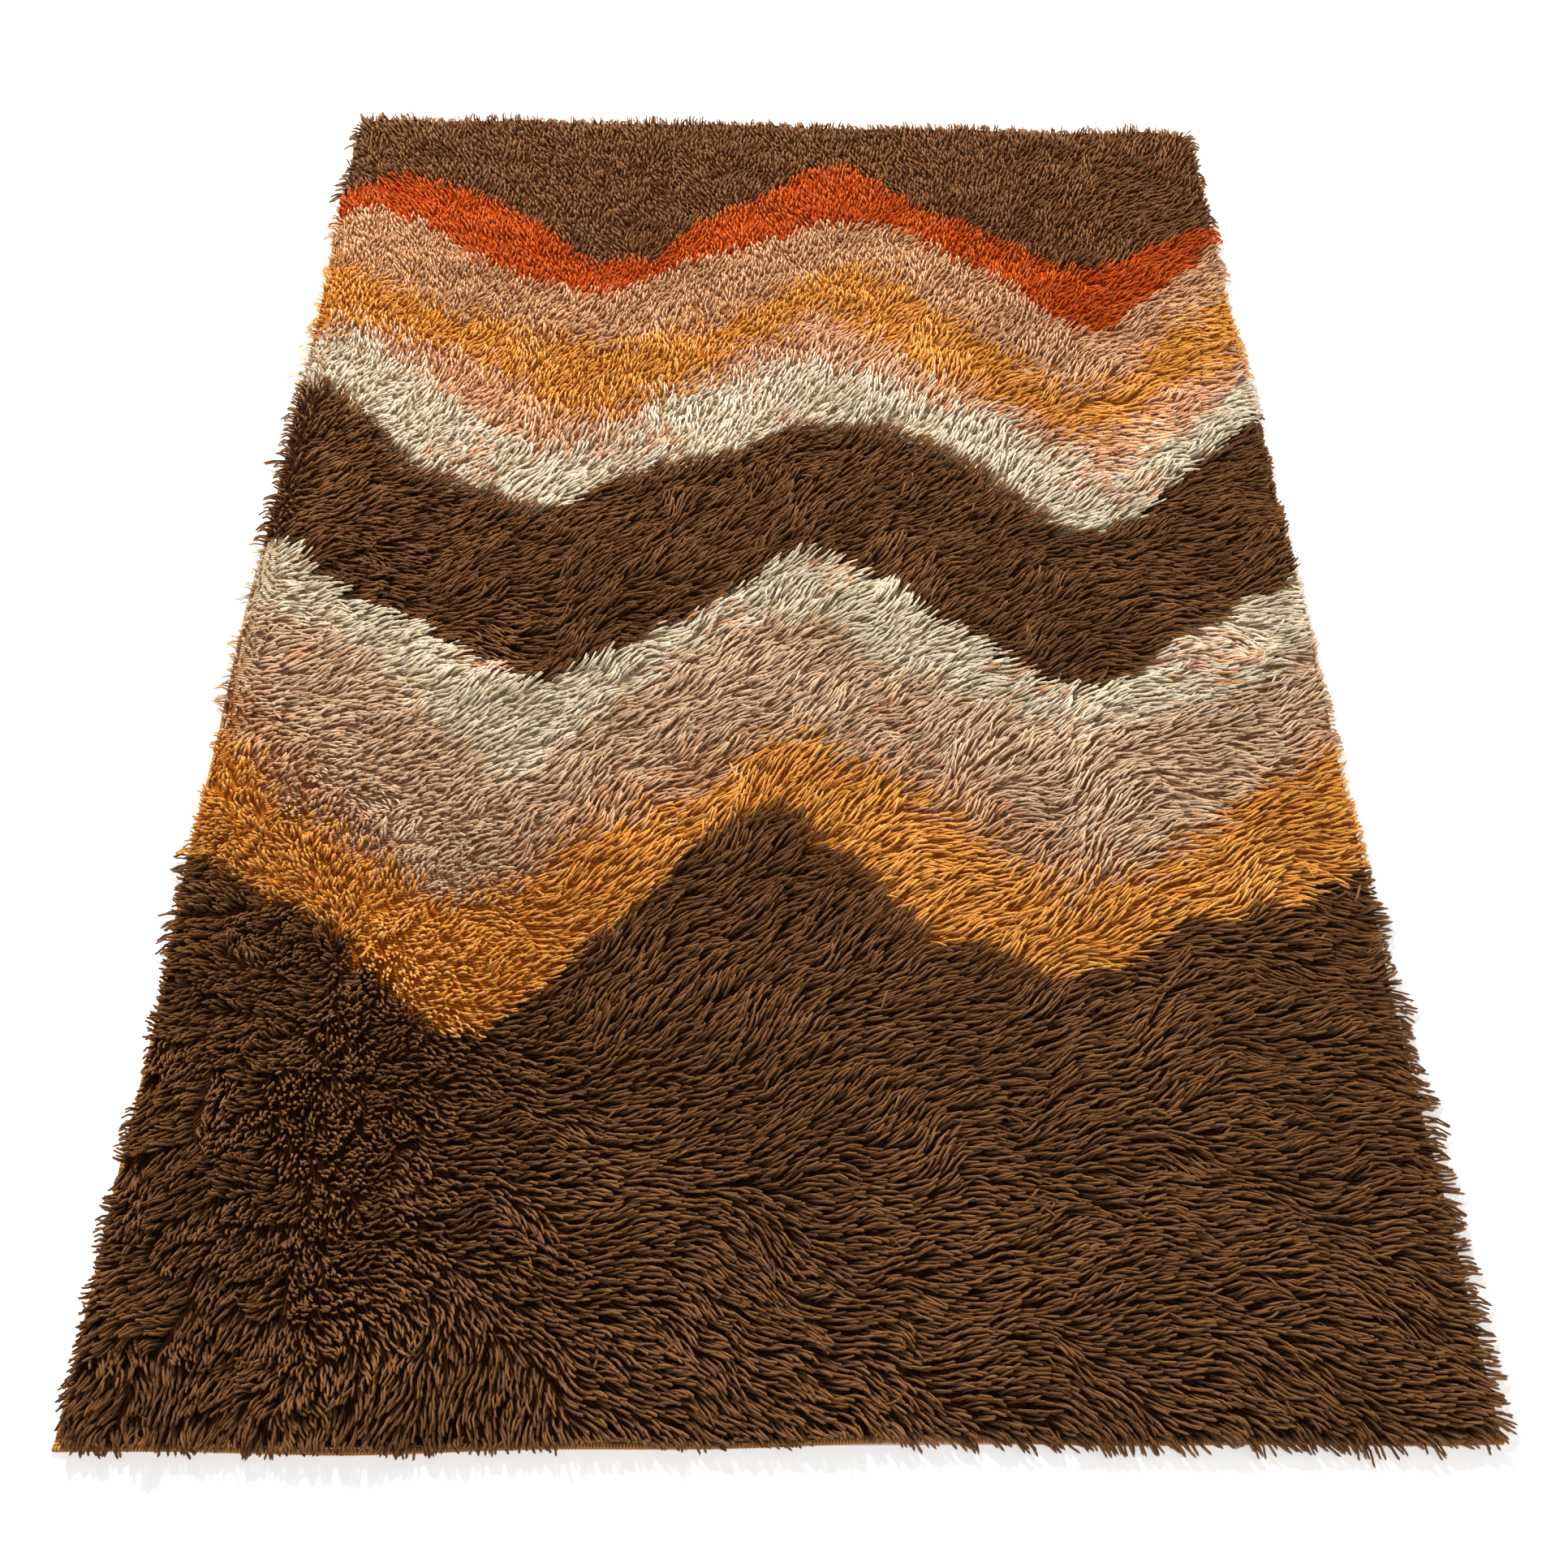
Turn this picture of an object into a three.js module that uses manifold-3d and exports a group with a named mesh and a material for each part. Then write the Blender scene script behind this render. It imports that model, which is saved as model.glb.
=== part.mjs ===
// A long-pile wool rug lying flat on the floor. A thin woven ground cloth carries a deep, lumpy
// shag pile whose outermost locks fan out over the edge, and an overcast yarn edge binds all
// four sides. Millimetres, +Z up, +Y from the near end to the far end. The origin is the middle
// of the underside, on the floor.

import * as THREE from 'three';
import { mergeVertices } from 'three/addons/utils/BufferGeometryUtils.js';
import Module from 'manifold-3d';

const wasm = await Module();
wasm.setup();

// Bound size of the rug, from the outside of one edge to the outside of the other.
const RUG_WIDTH = 1600;
const RUG_LENGTH = 2300;
const HALF_WIDTH = RUG_WIDTH / 2;
const HALF_LENGTH = RUG_LENGTH / 2;
const SEAT_GAP = 0.3;

// Ground cloth and the overcast edge round it.
const CLOTH_THICKNESS = 3;
const EDGE_WIDTH = 9;
const EDGE_HEIGHT = 7;
const EDGE_SIDES = 8;
const EDGE_STEP = 100;

// The edges of a soft rug never lie quite straight: a long wave with half as much of a short one,
// settling to nothing at the corners.
const WANDER = 3.5;
const WANDER_LONG_WAVE = 1350;
const WANDER_SHORT_WAVE = 430;
const WANDER_SHORT_SHARE = 0.5;
const WANDER_PHASE = { left: 0.4, right: 2.1, near: 3.3, far: 5.2 };
const CORNER_SETTLE = 6;

// Pile: mean height of the laid nap, its lumps, and how it rounds over towards the rim. The broad
// lumps are two crossed waves that bend each other, and the small ones are two slanting waves.
const PILE_HEIGHT = 31;
const PILE_CELL = 66;
const BROAD_LUMP = { rise: 3.4, across: 61, along: 74, bend: 0.8, bendAcross: 97, bendAlong: 83 };
const SMALL_LUMP = { rise: 3, across: 29, along: 37, slantAcross: 53, slantAlong: 31 };
const RIM_FALL = 9;
const RIM_FALL_WIDTH = 70;
const PILE_CORNER = 35;

// The pile's side, from just below the cloth's top up to its own. The flat foot is cut at the
// cloth. Inset is measured in from the bound edge.
const PILE_FOOT = CLOTH_THICKNESS + SEAT_GAP;
const PILE_SIDE = [
  { height: 0, inset: 11 },
  { height: 8.5, inset: 11 },
  { height: 15, inset: -1 },
  { height: 22, inset: 6 },
];

// Locks of yarn that fan out over the edge.
const LOCK_COUNT = 240;
const LOCK_SIDES = 3;
const LOCK_BENDS = 3;
const LOCK_ROOT_RADIUS = 8;
const LOCK_FULLNESS = 0.9;
const LOCK_FLATNESS = 0.6;
const LOCK_ROOT_INSET = 11;
const LOCK_ROOT_HEIGHT = 18;
const LOCK_REACH = { least: 14, most: 30 };
const LOCK_TIP_HEIGHT = { least: 2.5, most: 11 };
const LOCK_ARCH = 3;
const LOCK_SWAY = 9;
const LOCK_JITTER = 7;
const LOCK_SEED = 1974;

const BROWN_WOOL = 0x4d3322;
const TAN_YARN = 0xb07a45;
const GROUND_FLAX = 0xa98558;
const WOOL_ROUGHNESS = 0.95;

// A repeatable source of numbers from 0 to 1.
function seededRandom(seed) {
  let state = seed;
  return () => {
    state = (state * 1664525 + 1013904223) % 4294967296;
    return state / 4294967296;
  };
}

function between(range, share) {
  return range.least + (range.most - range.least) * share;
}

// How far an edge strays from its straight line at a share, 0 to 1, of its length.
function edgeWander(side, share, length) {
  const along = share * length;
  const phase = WANDER_PHASE[side];
  const longWave = Math.sin((2 * Math.PI * along) / WANDER_LONG_WAVE + phase);
  const shortWave = Math.sin((2 * Math.PI * along) / WANDER_SHORT_WAVE + 2 * phase);
  const settle = Math.min(1, CORNER_SETTLE * share * (1 - share));
  return WANDER * (longWave + WANDER_SHORT_SHARE * shortWave) * settle;
}

// Moves a point of the straight-sided rug to where the wandering edges put it.
function wandered(x, y) {
  const acrossShare = THREE.MathUtils.clamp(x / RUG_WIDTH + 0.5, 0, 1);
  const alongShare = THREE.MathUtils.clamp(y / RUG_LENGTH + 0.5, 0, 1);
  const left = edgeWander('left', alongShare, RUG_LENGTH);
  const right = edgeWander('right', alongShare, RUG_LENGTH);
  const near = edgeWander('near', acrossShare, RUG_WIDTH);
  const far = edgeWander('far', acrossShare, RUG_WIDTH);
  return {
    x: x + THREE.MathUtils.lerp(left, right, acrossShare),
    y: y + THREE.MathUtils.lerp(near, far, alongShare),
  };
}

// Height of the laid nap over the floor.
function pileTop(x, y) {
  const bentAcross = x / BROAD_LUMP.across + BROAD_LUMP.bend * Math.sin(y / BROAD_LUMP.bendAlong);
  const bentAlong = y / BROAD_LUMP.along + BROAD_LUMP.bend * Math.sin(x / BROAD_LUMP.bendAcross);
  const broad = BROAD_LUMP.rise * Math.sin(bentAcross) * Math.sin(bentAlong);
  const slantOne = x / SMALL_LUMP.across + y / SMALL_LUMP.along;
  const slantTwo = y / SMALL_LUMP.slantAlong - x / SMALL_LUMP.slantAcross;
  const small = SMALL_LUMP.rise * Math.sin(slantOne) * Math.sin(slantTwo);
  const fromRim = Math.min(HALF_WIDTH - Math.abs(x), HALF_LENGTH - Math.abs(y));
  const shortfall = Math.max(0, 1 - fromRim / RIM_FALL_WIDTH);
  return PILE_HEIGHT + broad + small - RIM_FALL * shortfall * shortfall;
}

// Rounds the corners of a rectangle by bending its last square onto a quarter circle.
function roundedCorner(x, y, halfWidth, halfLength) {
  const overX = Math.abs(x) - (halfWidth - PILE_CORNER);
  const overY = Math.abs(y) - (halfLength - PILE_CORNER);
  if (overX <= 0 || overY <= 0) {
    return { x, y };
  }
  const pull = Math.max(overX, overY) / Math.hypot(overX, overY);
  return {
    x: Math.sign(x) * (halfWidth - PILE_CORNER + overX * pull),
    y: Math.sign(y) * (halfLength - PILE_CORNER + overY * pull),
  };
}

// Keeps only the positions of a geometry, with shared vertices merged.
function weld(geometry) {
  geometry.deleteAttribute('normal');
  geometry.deleteAttribute('uv');
  return mergeVertices(geometry, 1e-4);
}

// Moves each vertex of a welded geometry to where place(x, y, z) puts it.
function reshape(geometry, place) {
  const positions = geometry.getAttribute('position');
  for (let i = 0; i < positions.count; i += 1) {
    const point = place(positions.getX(i), positions.getY(i), positions.getZ(i));
    positions.setXYZ(i, point.x, point.y, point.z);
  }
  return geometry;
}

function toSolid(geometry) {
  const mesh = new wasm.Mesh({
    numProp: 3,
    vertProperties: new Float32Array(geometry.getAttribute('position').array),
    triVerts: new Uint32Array(geometry.index.array),
  });
  return new wasm.Manifold(mesh);
}

function toGeometry(solid) {
  const mesh = solid.getMesh();
  const geometry = new THREE.BufferGeometry();
  geometry.setAttribute('position', new THREE.BufferAttribute(mesh.vertProperties, 3));
  geometry.setIndex(new THREE.BufferAttribute(mesh.triVerts, 1));
  return geometry;
}

// The woven ground, a thin sheet that stops just inside the overcast edge.
function groundClothGeometry() {
  const halfWidth = HALF_WIDTH - EDGE_WIDTH - SEAT_GAP;
  const halfLength = HALF_LENGTH - EDGE_WIDTH - SEAT_GAP;
  const acrossSteps = Math.round((2 * halfWidth) / EDGE_STEP);
  const alongSteps = Math.round((2 * halfLength) / EDGE_STEP);
  const sides = [
    { from: [-halfWidth, -halfLength], to: [halfWidth, -halfLength], steps: acrossSteps },
    { from: [halfWidth, -halfLength], to: [halfWidth, halfLength], steps: alongSteps },
    { from: [halfWidth, halfLength], to: [-halfWidth, halfLength], steps: acrossSteps },
    { from: [-halfWidth, halfLength], to: [-halfWidth, -halfLength], steps: alongSteps },
  ];
  const outline = [];
  for (const side of sides) {
    for (let i = 0; i < side.steps; i += 1) {
      const share = i / side.steps;
      const x = THREE.MathUtils.lerp(side.from[0], side.to[0], share);
      const y = THREE.MathUtils.lerp(side.from[1], side.to[1], share);
      const point = wandered(x, y);
      outline.push(new THREE.Vector2(point.x, point.y));
    }
  }
  return new THREE.ExtrudeGeometry(new THREE.Shape(outline), { depth: CLOTH_THICKNESS, bevelEnabled: false });
}

// Bead of overcast yarn along one edge: a round bar with a flat foot. The near and far beads run
// the whole width, and the side beads fit between them.
function edgeBeadGeometry(side) {
  const runsAcross = side === 'near' || side === 'far';
  const outward = side === 'left' || side === 'near' ? -1 : 1;
  const length = runsAcross ? RUG_WIDTH : RUG_LENGTH - 2 * (EDGE_WIDTH + SEAT_GAP);
  const steps = Math.round(length / EDGE_STEP);
  const halfSide = Math.PI / EDGE_SIDES;
  const bar = new THREE.CylinderGeometry(1, 1, length, EDGE_SIDES, steps, false, halfSide);
  const flat = Math.cos(halfSide);
  return reshape(weld(bar), (x, y, z) => {
    const across = (x / flat) * (EDGE_WIDTH / 2);
    const height = (z / flat + 1) * (EDGE_HEIGHT / 2);
    if (runsAcross) {
      const line = outward * (HALF_LENGTH - EDGE_WIDTH / 2);
      return { x: y, y: wandered(y, line).y - across, z: height };
    }
    const line = outward * (HALF_WIDTH - EDGE_WIDTH / 2);
    return { x: wandered(line, y).x + across, y, z: height };
  });
}

// The body of the pile: a lumpy slab, rounded over at the rim and lapping over the edge bead.
function pileSlabGeometry() {
  const levels = PILE_SIDE.length - 1;
  const cellsAcross = Math.round(RUG_WIDTH / PILE_CELL);
  const cellsAlong = Math.round(RUG_LENGTH / PILE_CELL);
  const box = new THREE.BoxGeometry(1, 1, 1, cellsAcross, cellsAlong, levels);
  return reshape(weld(box), (u, v, w) => {
    const side = PILE_SIDE[Math.round((w + 0.5) * levels)];
    const halfWidth = HALF_WIDTH - side.inset;
    const halfLength = HALF_LENGTH - side.inset;
    const corner = roundedCorner(2 * u * halfWidth, 2 * v * halfLength, halfWidth, halfLength);
    const point = wandered(corner.x, corner.y);
    const onTop = side === PILE_SIDE[levels];
    return { x: point.x, y: point.y, z: onTop ? pileTop(corner.x, corner.y) : side.height };
  });
}

// Where the rim is at a distance round it from the near left corner, and which way it faces.
function rimAt(distance) {
  const sides = [
    { x: -HALF_WIDTH, y: -HALF_LENGTH, dx: 1, dy: 0, length: RUG_WIDTH },
    { x: HALF_WIDTH, y: -HALF_LENGTH, dx: 0, dy: 1, length: RUG_LENGTH },
    { x: HALF_WIDTH, y: HALF_LENGTH, dx: -1, dy: 0, length: RUG_WIDTH },
    { x: -HALF_WIDTH, y: HALF_LENGTH, dx: 0, dy: -1, length: RUG_LENGTH },
  ];
  let along = distance;
  for (const side of sides) {
    if (along <= side.length) {
      const point = roundedCorner(side.x + side.dx * along, side.y + side.dy * along, HALF_WIDTH, HALF_LENGTH);
      const overX = Math.max(0, Math.abs(point.x) - (HALF_WIDTH - PILE_CORNER)) * Math.sign(point.x);
      const overY = Math.max(0, Math.abs(point.y) - (HALF_LENGTH - PILE_CORNER)) * Math.sign(point.y);
      return { x: point.x, y: point.y, out: new THREE.Vector2(overX, overY).normalize() };
    }
    along -= side.length;
  }
  return rimAt(along);
}

// One lock: a three-sided taper that leaves the rim, arches and droops towards the floor.
function lockGeometry(rim, reach, tipHeight, sway) {
  const cone = new THREE.ConeGeometry(1, 1, LOCK_SIDES, LOCK_BENDS, false, Math.PI / (2 * LOCK_SIDES));
  const aside = new THREE.Vector2(-rim.out.y, rim.out.x);
  const start = wandered(rim.x, rim.y);
  return reshape(weld(cone), (x, y, z) => {
    const t = y + 0.5;
    const radius = LOCK_ROOT_RADIUS * (1 + LOCK_FULLNESS * t);
    const away = -LOCK_ROOT_INSET + (reach + LOCK_ROOT_INSET) * t;
    const sideways = sway * t * t + x * radius;
    const height = THREE.MathUtils.lerp(LOCK_ROOT_HEIGHT, tipHeight, t * t) + LOCK_ARCH * Math.sin(Math.PI * t);
    return {
      x: start.x + rim.out.x * away + aside.x * sideways,
      y: start.y + rim.out.y * away + aside.y * sideways,
      z: height - z * radius * LOCK_FLATNESS,
    };
  });
}

function pileGeometry() {
  const random = seededRandom(LOCK_SEED);
  const pitch = (2 * (RUG_WIDTH + RUG_LENGTH)) / LOCK_COUNT;
  const below = new THREE.BoxGeometry(RUG_WIDTH, RUG_LENGTH, 2 * PILE_FOOT);
  const slab = toSolid(pileSlabGeometry()).subtract(toSolid(weld(below)));
  const solids = [slab];
  for (let i = 0; i < LOCK_COUNT; i += 1) {
    const rim = rimAt((i + 0.5) * pitch + (random() - 0.5) * 2 * LOCK_JITTER);
    const reach = between(LOCK_REACH, random());
    const tipHeight = between(LOCK_TIP_HEIGHT, random());
    const sway = (random() - 0.5) * 2 * LOCK_SWAY;
    solids.push(toSolid(lockGeometry(rim, reach, tipHeight, sway)));
  }
  return toGeometry(wasm.Manifold.union(solids));
}

function woolMesh(name, geometry, color) {
  const material = new THREE.MeshStandardMaterial({ color, roughness: WOOL_ROUGHNESS, metalness: 0 });
  const mesh = new THREE.Mesh(geometry, material);
  mesh.name = name;
  return mesh;
}

const rug = new THREE.Group();
rug.add(woolMesh('ground_cloth', groundClothGeometry(), GROUND_FLAX));
for (const side of ['left', 'right', 'near', 'far']) {
  rug.add(woolMesh(`overcast_edge_${side}`, edgeBeadGeometry(side), TAN_YARN));
}
rug.add(woolMesh('shag_pile', pileGeometry(), BROWN_WOOL));

export default rug;
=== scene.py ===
"""A long-pile wool rug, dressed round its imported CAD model.

The rug lies flat on a pale floor. Its pile is some fifty thousand cut yarns that lie over in a
combed nap, in waves of brown, rust, amber, tan, peach, beige and cream. Under them are the dense
foot of the pile, the woven ground cloth and an overcast yarn edge on all four sides. Metres, +Z up,
+Y from the near end to the far end, with the origin at the middle of the underside.
"""

import logging
import math
from dataclasses import dataclass, field, fields
from enum import Enum

import bpy
import numpy as np
from mathutils import Matrix, Vector

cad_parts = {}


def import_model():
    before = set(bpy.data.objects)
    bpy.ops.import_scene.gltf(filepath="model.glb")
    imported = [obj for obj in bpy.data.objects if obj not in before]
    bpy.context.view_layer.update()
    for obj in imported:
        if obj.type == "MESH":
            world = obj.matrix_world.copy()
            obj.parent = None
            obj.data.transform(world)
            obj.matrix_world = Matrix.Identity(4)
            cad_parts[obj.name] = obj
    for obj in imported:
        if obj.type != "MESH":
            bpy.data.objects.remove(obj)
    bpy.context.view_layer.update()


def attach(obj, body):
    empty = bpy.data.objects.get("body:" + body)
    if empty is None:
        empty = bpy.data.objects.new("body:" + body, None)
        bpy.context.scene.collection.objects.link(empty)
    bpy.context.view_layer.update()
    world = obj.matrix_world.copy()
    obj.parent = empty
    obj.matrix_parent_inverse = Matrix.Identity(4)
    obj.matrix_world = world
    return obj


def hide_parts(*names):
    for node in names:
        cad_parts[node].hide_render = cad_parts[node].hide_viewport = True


LOG = logging.getLogger("rug")
MM = 0.001
TURN = 2 * math.pi
TINY = 1e-9

# The curve between screen values and linear light, as the sRGB standard gives it.
SCREEN_WHITE = 255
SRGB_KNEE = 0.04045
SRGB_SLOPE = 12.92
SRGB_OFFSET = 0.055
SRGB_POWER = 2.4

Array = np.ndarray
Colour = tuple[float, float, float]
Socket = bpy.types.NodeSocket


def from_srgb(red: int, green: int, blue: int) -> Colour:
    """Turns a colour given from 0 to 255, as seen on a screen, into linear light.

    Args:
        red: Red, from 0 to 255.
        green: Green, from 0 to 255.
        blue: Blue, from 0 to 255.

    Returns:
        The linear colour, from 0 to 1.
    """
    shares = (red / SCREEN_WHITE, green / SCREEN_WHITE, blue / SCREEN_WHITE)
    return tuple(
        s / SRGB_SLOPE if s <= SRGB_KNEE else ((s + SRGB_OFFSET) / (1 + SRGB_OFFSET)) ** SRGB_POWER
        for s in shares
    )


def smooth(share: Array) -> Array:
    """Returns an even step from 0 to 1 as share goes from 0 to 1."""
    clipped = np.clip(share, 0.0, 1.0)
    return clipped * clipped * (3 - 2 * clipped)


@dataclass(frozen=True)
class Fade:
    """A soft step from 0 at its start to 1 at its end, along one of the rug's directions."""

    start: float
    width: float

    def at(self, place: Array) -> Array:
        """How far each place is through the step; a negative width runs the other way."""
        return smooth((place - self.start) / self.width)


@dataclass(frozen=True)
class Ripple:
    """A slow, uneven surface made of crossed waves; each phase gives another one.

    The height is that of its crests, and the wavelength is the mean distance between them.
    """

    height: float
    wavelength: float
    phase: float
    waves: int = 5
    shortest: float = 0.7
    step: float = 0.17
    phase_offset: float = 1.3
    golden_angle: float = 2.39996

    def at(self, x: Array, y: Array) -> Array:
        """The surface's height at each place.

        Args:
            x: Places across the rug.
            y: Places along the rug.

        Returns:
            Values from about minus the height to plus the height.
        """
        total = np.zeros_like(x)
        for k in range(self.waves):
            heading = k * self.golden_angle + self.phase
            along = x * math.cos(heading) + y * math.sin(heading)
            length = self.wavelength * (self.shortest + self.step * k)
            total += np.sin(TURN * along / length + self.phase * (k + self.phase_offset))
        return self.height * (total / (self.waves / 2))


class Wool(Enum):
    """The dyed wools of the pile."""

    BROWN = "brown"
    RUST = "rust"
    TAN = "tan"
    AMBER = "amber"
    PEACH = "peach"
    BEIGE = "beige"
    CREAM = "cream"


class Side(Enum):
    """The four sides of the rug, each with the direction that it faces."""

    LEFT = (-1, 0)
    RIGHT = (1, 0)
    NEAR = (0, -1)
    FAR = (0, 1)

    @property
    def label(self) -> str:
        """The side's name in lower case."""
        return self.name.lower()


@dataclass(frozen=True)
class YarnFinish:
    """Dyed rug wool: two shades of it in full light, a painted shade colour for its yarns' roots
    and the hollows of the pile's foot, and its fuzz.

    The spread is how much lightness varies from yarn to yarn, and the foot light is how much of
    the colour shows at the foot of the pile; below 1 it dims the foot as painted shade.
    """

    name: str
    lit: Colour
    warm: Colour
    # Painted shade: the colour the yarns darken to at their roots, and the colour the foot shows in
    # its hollows.
    deep: Colour
    fuzz: Colour
    spread: float = 0.45
    # Painted shade on the pile's foot: its colours are dimmed to this share.
    foot_painted_light: float = 1.0
    sheen: float = 0.25
    roughness: float = 0.58


YARNS: dict[Wool, YarnFinish] = {
    Wool.BROWN: YarnFinish(
        "brown_wool",
        lit=from_srgb(131, 92, 47),
        warm=from_srgb(118, 69, 36),
        deep=from_srgb(48, 20, 4),
        fuzz=from_srgb(255, 195, 140),
        spread=0.66,
        foot_painted_light=0.5,
        sheen=0.33,
    ),
    Wool.RUST: YarnFinish(
        "rust_wool",
        lit=from_srgb(212, 100, 16),
        warm=from_srgb(200, 82, 4),
        deep=from_srgb(146, 42, 0),
        fuzz=from_srgb(255, 180, 120),
    ),
    Wool.TAN: YarnFinish(
        "tan_wool",
        lit=from_srgb(231, 190, 150),
        warm=from_srgb(224, 171, 126),
        deep=from_srgb(134, 78, 36),
        fuzz=from_srgb(255, 220, 180),
    ),
    Wool.AMBER: YarnFinish(
        "amber_wool",
        lit=from_srgb(246, 186, 98),
        warm=from_srgb(240, 165, 62),
        deep=from_srgb(150, 76, 14),
        fuzz=from_srgb(255, 215, 150),
    ),
    Wool.PEACH: YarnFinish(
        "peach_wool",
        lit=from_srgb(246, 202, 164),
        warm=from_srgb(240, 184, 140),
        deep=from_srgb(154, 98, 58),
        fuzz=from_srgb(255, 225, 200),
    ),
    Wool.BEIGE: YarnFinish(
        "beige_wool",
        lit=from_srgb(238, 212, 180),
        warm=from_srgb(232, 198, 160),
        deep=from_srgb(138, 96, 60),
        fuzz=from_srgb(255, 225, 195),
    ),
    Wool.CREAM: YarnFinish(
        "cream_wool",
        lit=from_srgb(250, 240, 219),
        warm=from_srgb(247, 231, 204),
        deep=from_srgb(164, 138, 104),
        fuzz=from_srgb(255, 240, 215),
    ),
}

# The edge yarn's painted shade colour darkens its stitches towards their ends, and its core.
EDGE_YARN = YarnFinish(
    "edge_yarn",
    lit=from_srgb(244, 188, 110),
    warm=from_srgb(236, 170, 86),
    deep=from_srgb(170, 108, 46),
    fuzz=from_srgb(255, 215, 160),
    spread=0.35,
)


@dataclass(frozen=True)
class Outline:
    """The rug's flat shape and the height of its pile, as the CAD model has them."""

    width: float = 1.6
    length: float = 2.3
    seat_gap: float = 0.3 * MM
    cloth_thickness: float = 3 * MM
    edge_width: float = 9 * MM
    edge_height: float = 7 * MM
    wander: float = 3.5 * MM
    wander_long_wave: float = 1.35
    wander_short_wave: float = 0.43
    wander_short_share: float = 0.5
    corner_settle: float = 6.0
    pile_corner: float = 35 * MM
    pile_height: float = 31 * MM
    broad_rise: float = 3.4 * MM
    broad_waves: tuple[float, float] = (61 * MM, 74 * MM)
    broad_bend: float = 0.8
    bend_waves: tuple[float, float] = (97 * MM, 83 * MM)
    small_rise: float = 3 * MM
    small_waves: tuple[float, float] = (29 * MM, 37 * MM)
    slant_waves: tuple[float, float] = (53 * MM, 31 * MM)
    rim_fall: float = 9 * MM
    rim_fall_width: float = 70 * MM
    wander_phase: dict[Side, float] = field(
        default_factory=lambda: {Side.LEFT: 0.4, Side.RIGHT: 2.1, Side.NEAR: 3.3, Side.FAR: 5.2}
    )

    @property
    def half_width(self) -> float:
        """Half the width between the outsides of the bound edges."""
        return self.width / 2

    @property
    def half_length(self) -> float:
        """Half the length between the outsides of the bound edges."""
        return self.length / 2

    @property
    def inside_edge(self) -> float:
        """How far in from the outside the cloth and the pile begin, clear of the bound edge."""
        return self.edge_width + self.seat_gap

    @property
    def pile_foot(self) -> float:
        """Height at which the pile stands on the ground cloth."""
        return self.cloth_thickness + self.seat_gap

    def stray(self, side: Side, share: Array, length: float) -> Array:
        """How far an edge strays from its straight line.

        Args:
            side: The edge.
            share: Places along it, from 0 to 1.
            length: Its length.

        Returns:
            Distances along +X or +Y.
        """
        along = share * length
        phase = self.wander_phase[side]
        long_wave = np.sin(TURN * along / self.wander_long_wave + phase)
        short_wave = np.sin(TURN * along / self.wander_short_wave + 2 * phase)
        settle = np.minimum(1.0, self.corner_settle * share * (1 - share))
        return self.wander * (long_wave + self.wander_short_share * short_wave) * settle

    def wandered(self, x: Array, y: Array) -> tuple[Array, Array]:
        """Moves points of the straight-sided rug to where its wandering edges put them.

        Args:
            x: Places across the rug.
            y: Places along the rug.

        Returns:
            The moved places.
        """
        across = np.clip(x / self.width + 0.5, 0, 1)
        along = np.clip(y / self.length + 0.5, 0, 1)
        left = self.stray(Side.LEFT, along, self.length)
        right = self.stray(Side.RIGHT, along, self.length)
        near = self.stray(Side.NEAR, across, self.width)
        far = self.stray(Side.FAR, across, self.width)
        return x + left + (right - left) * across, y + near + (far - near) * along

    def rounded(self, x: Array, y: Array, inset: float) -> tuple[Array, Array]:
        """Bends the square corners of an inset rectangle onto quarter circles.

        Args:
            x: Places across the rug.
            y: Places along the rug.
            inset: How far in from the bound edge the rectangle lies.

        Returns:
            The moved places.
        """
        inner_x = self.half_width - inset - self.pile_corner
        inner_y = self.half_length - inset - self.pile_corner
        over_x = np.maximum(np.abs(x) - inner_x, 0)
        over_y = np.maximum(np.abs(y) - inner_y, 0)
        reach = np.hypot(over_x, over_y)
        in_corner = (over_x > 0) & (over_y > 0)
        pull = np.where(in_corner, np.maximum(over_x, over_y) / np.maximum(reach, TINY), 1.0)
        round_x = np.sign(x) * (inner_x + over_x * pull)
        round_y = np.sign(y) * (inner_y + over_y * pull)
        return np.where(in_corner, round_x, x), np.where(in_corner, round_y, y)

    def from_rim(self, x: Array, y: Array) -> Array:
        """Distance in from the bound edge; negative outside it."""
        return np.minimum(self.half_width - np.abs(x), self.half_length - np.abs(y))

    def pile_top(self, x: Array, y: Array) -> Array:
        """Height of the laid nap over the floor.

        Args:
            x: Places across the rug.
            y: Places along the rug.

        Returns:
            Heights in metres.
        """
        bent_across = x / self.broad_waves[0] + self.broad_bend * np.sin(y / self.bend_waves[1])
        bent_along = y / self.broad_waves[1] + self.broad_bend * np.sin(x / self.bend_waves[0])
        broad = self.broad_rise * np.sin(bent_across) * np.sin(bent_along)
        slant_one = x / self.small_waves[0] + y / self.small_waves[1]
        slant_two = y / self.slant_waves[1] - x / self.slant_waves[0]
        small = self.small_rise * np.sin(slant_one) * np.sin(slant_two)
        shortfall = np.maximum(0, 1 - self.from_rim(x, y) / self.rim_fall_width)
        return self.pile_height + broad + small - self.rim_fall * shortfall**2


@dataclass(frozen=True)
class Stripe:
    """One coloured wave of the pattern, from its far line down to the next stripe's.

    The blend is how far its knots stray over that line.
    """

    wool: Wool
    far_line: float
    blend: float


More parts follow.
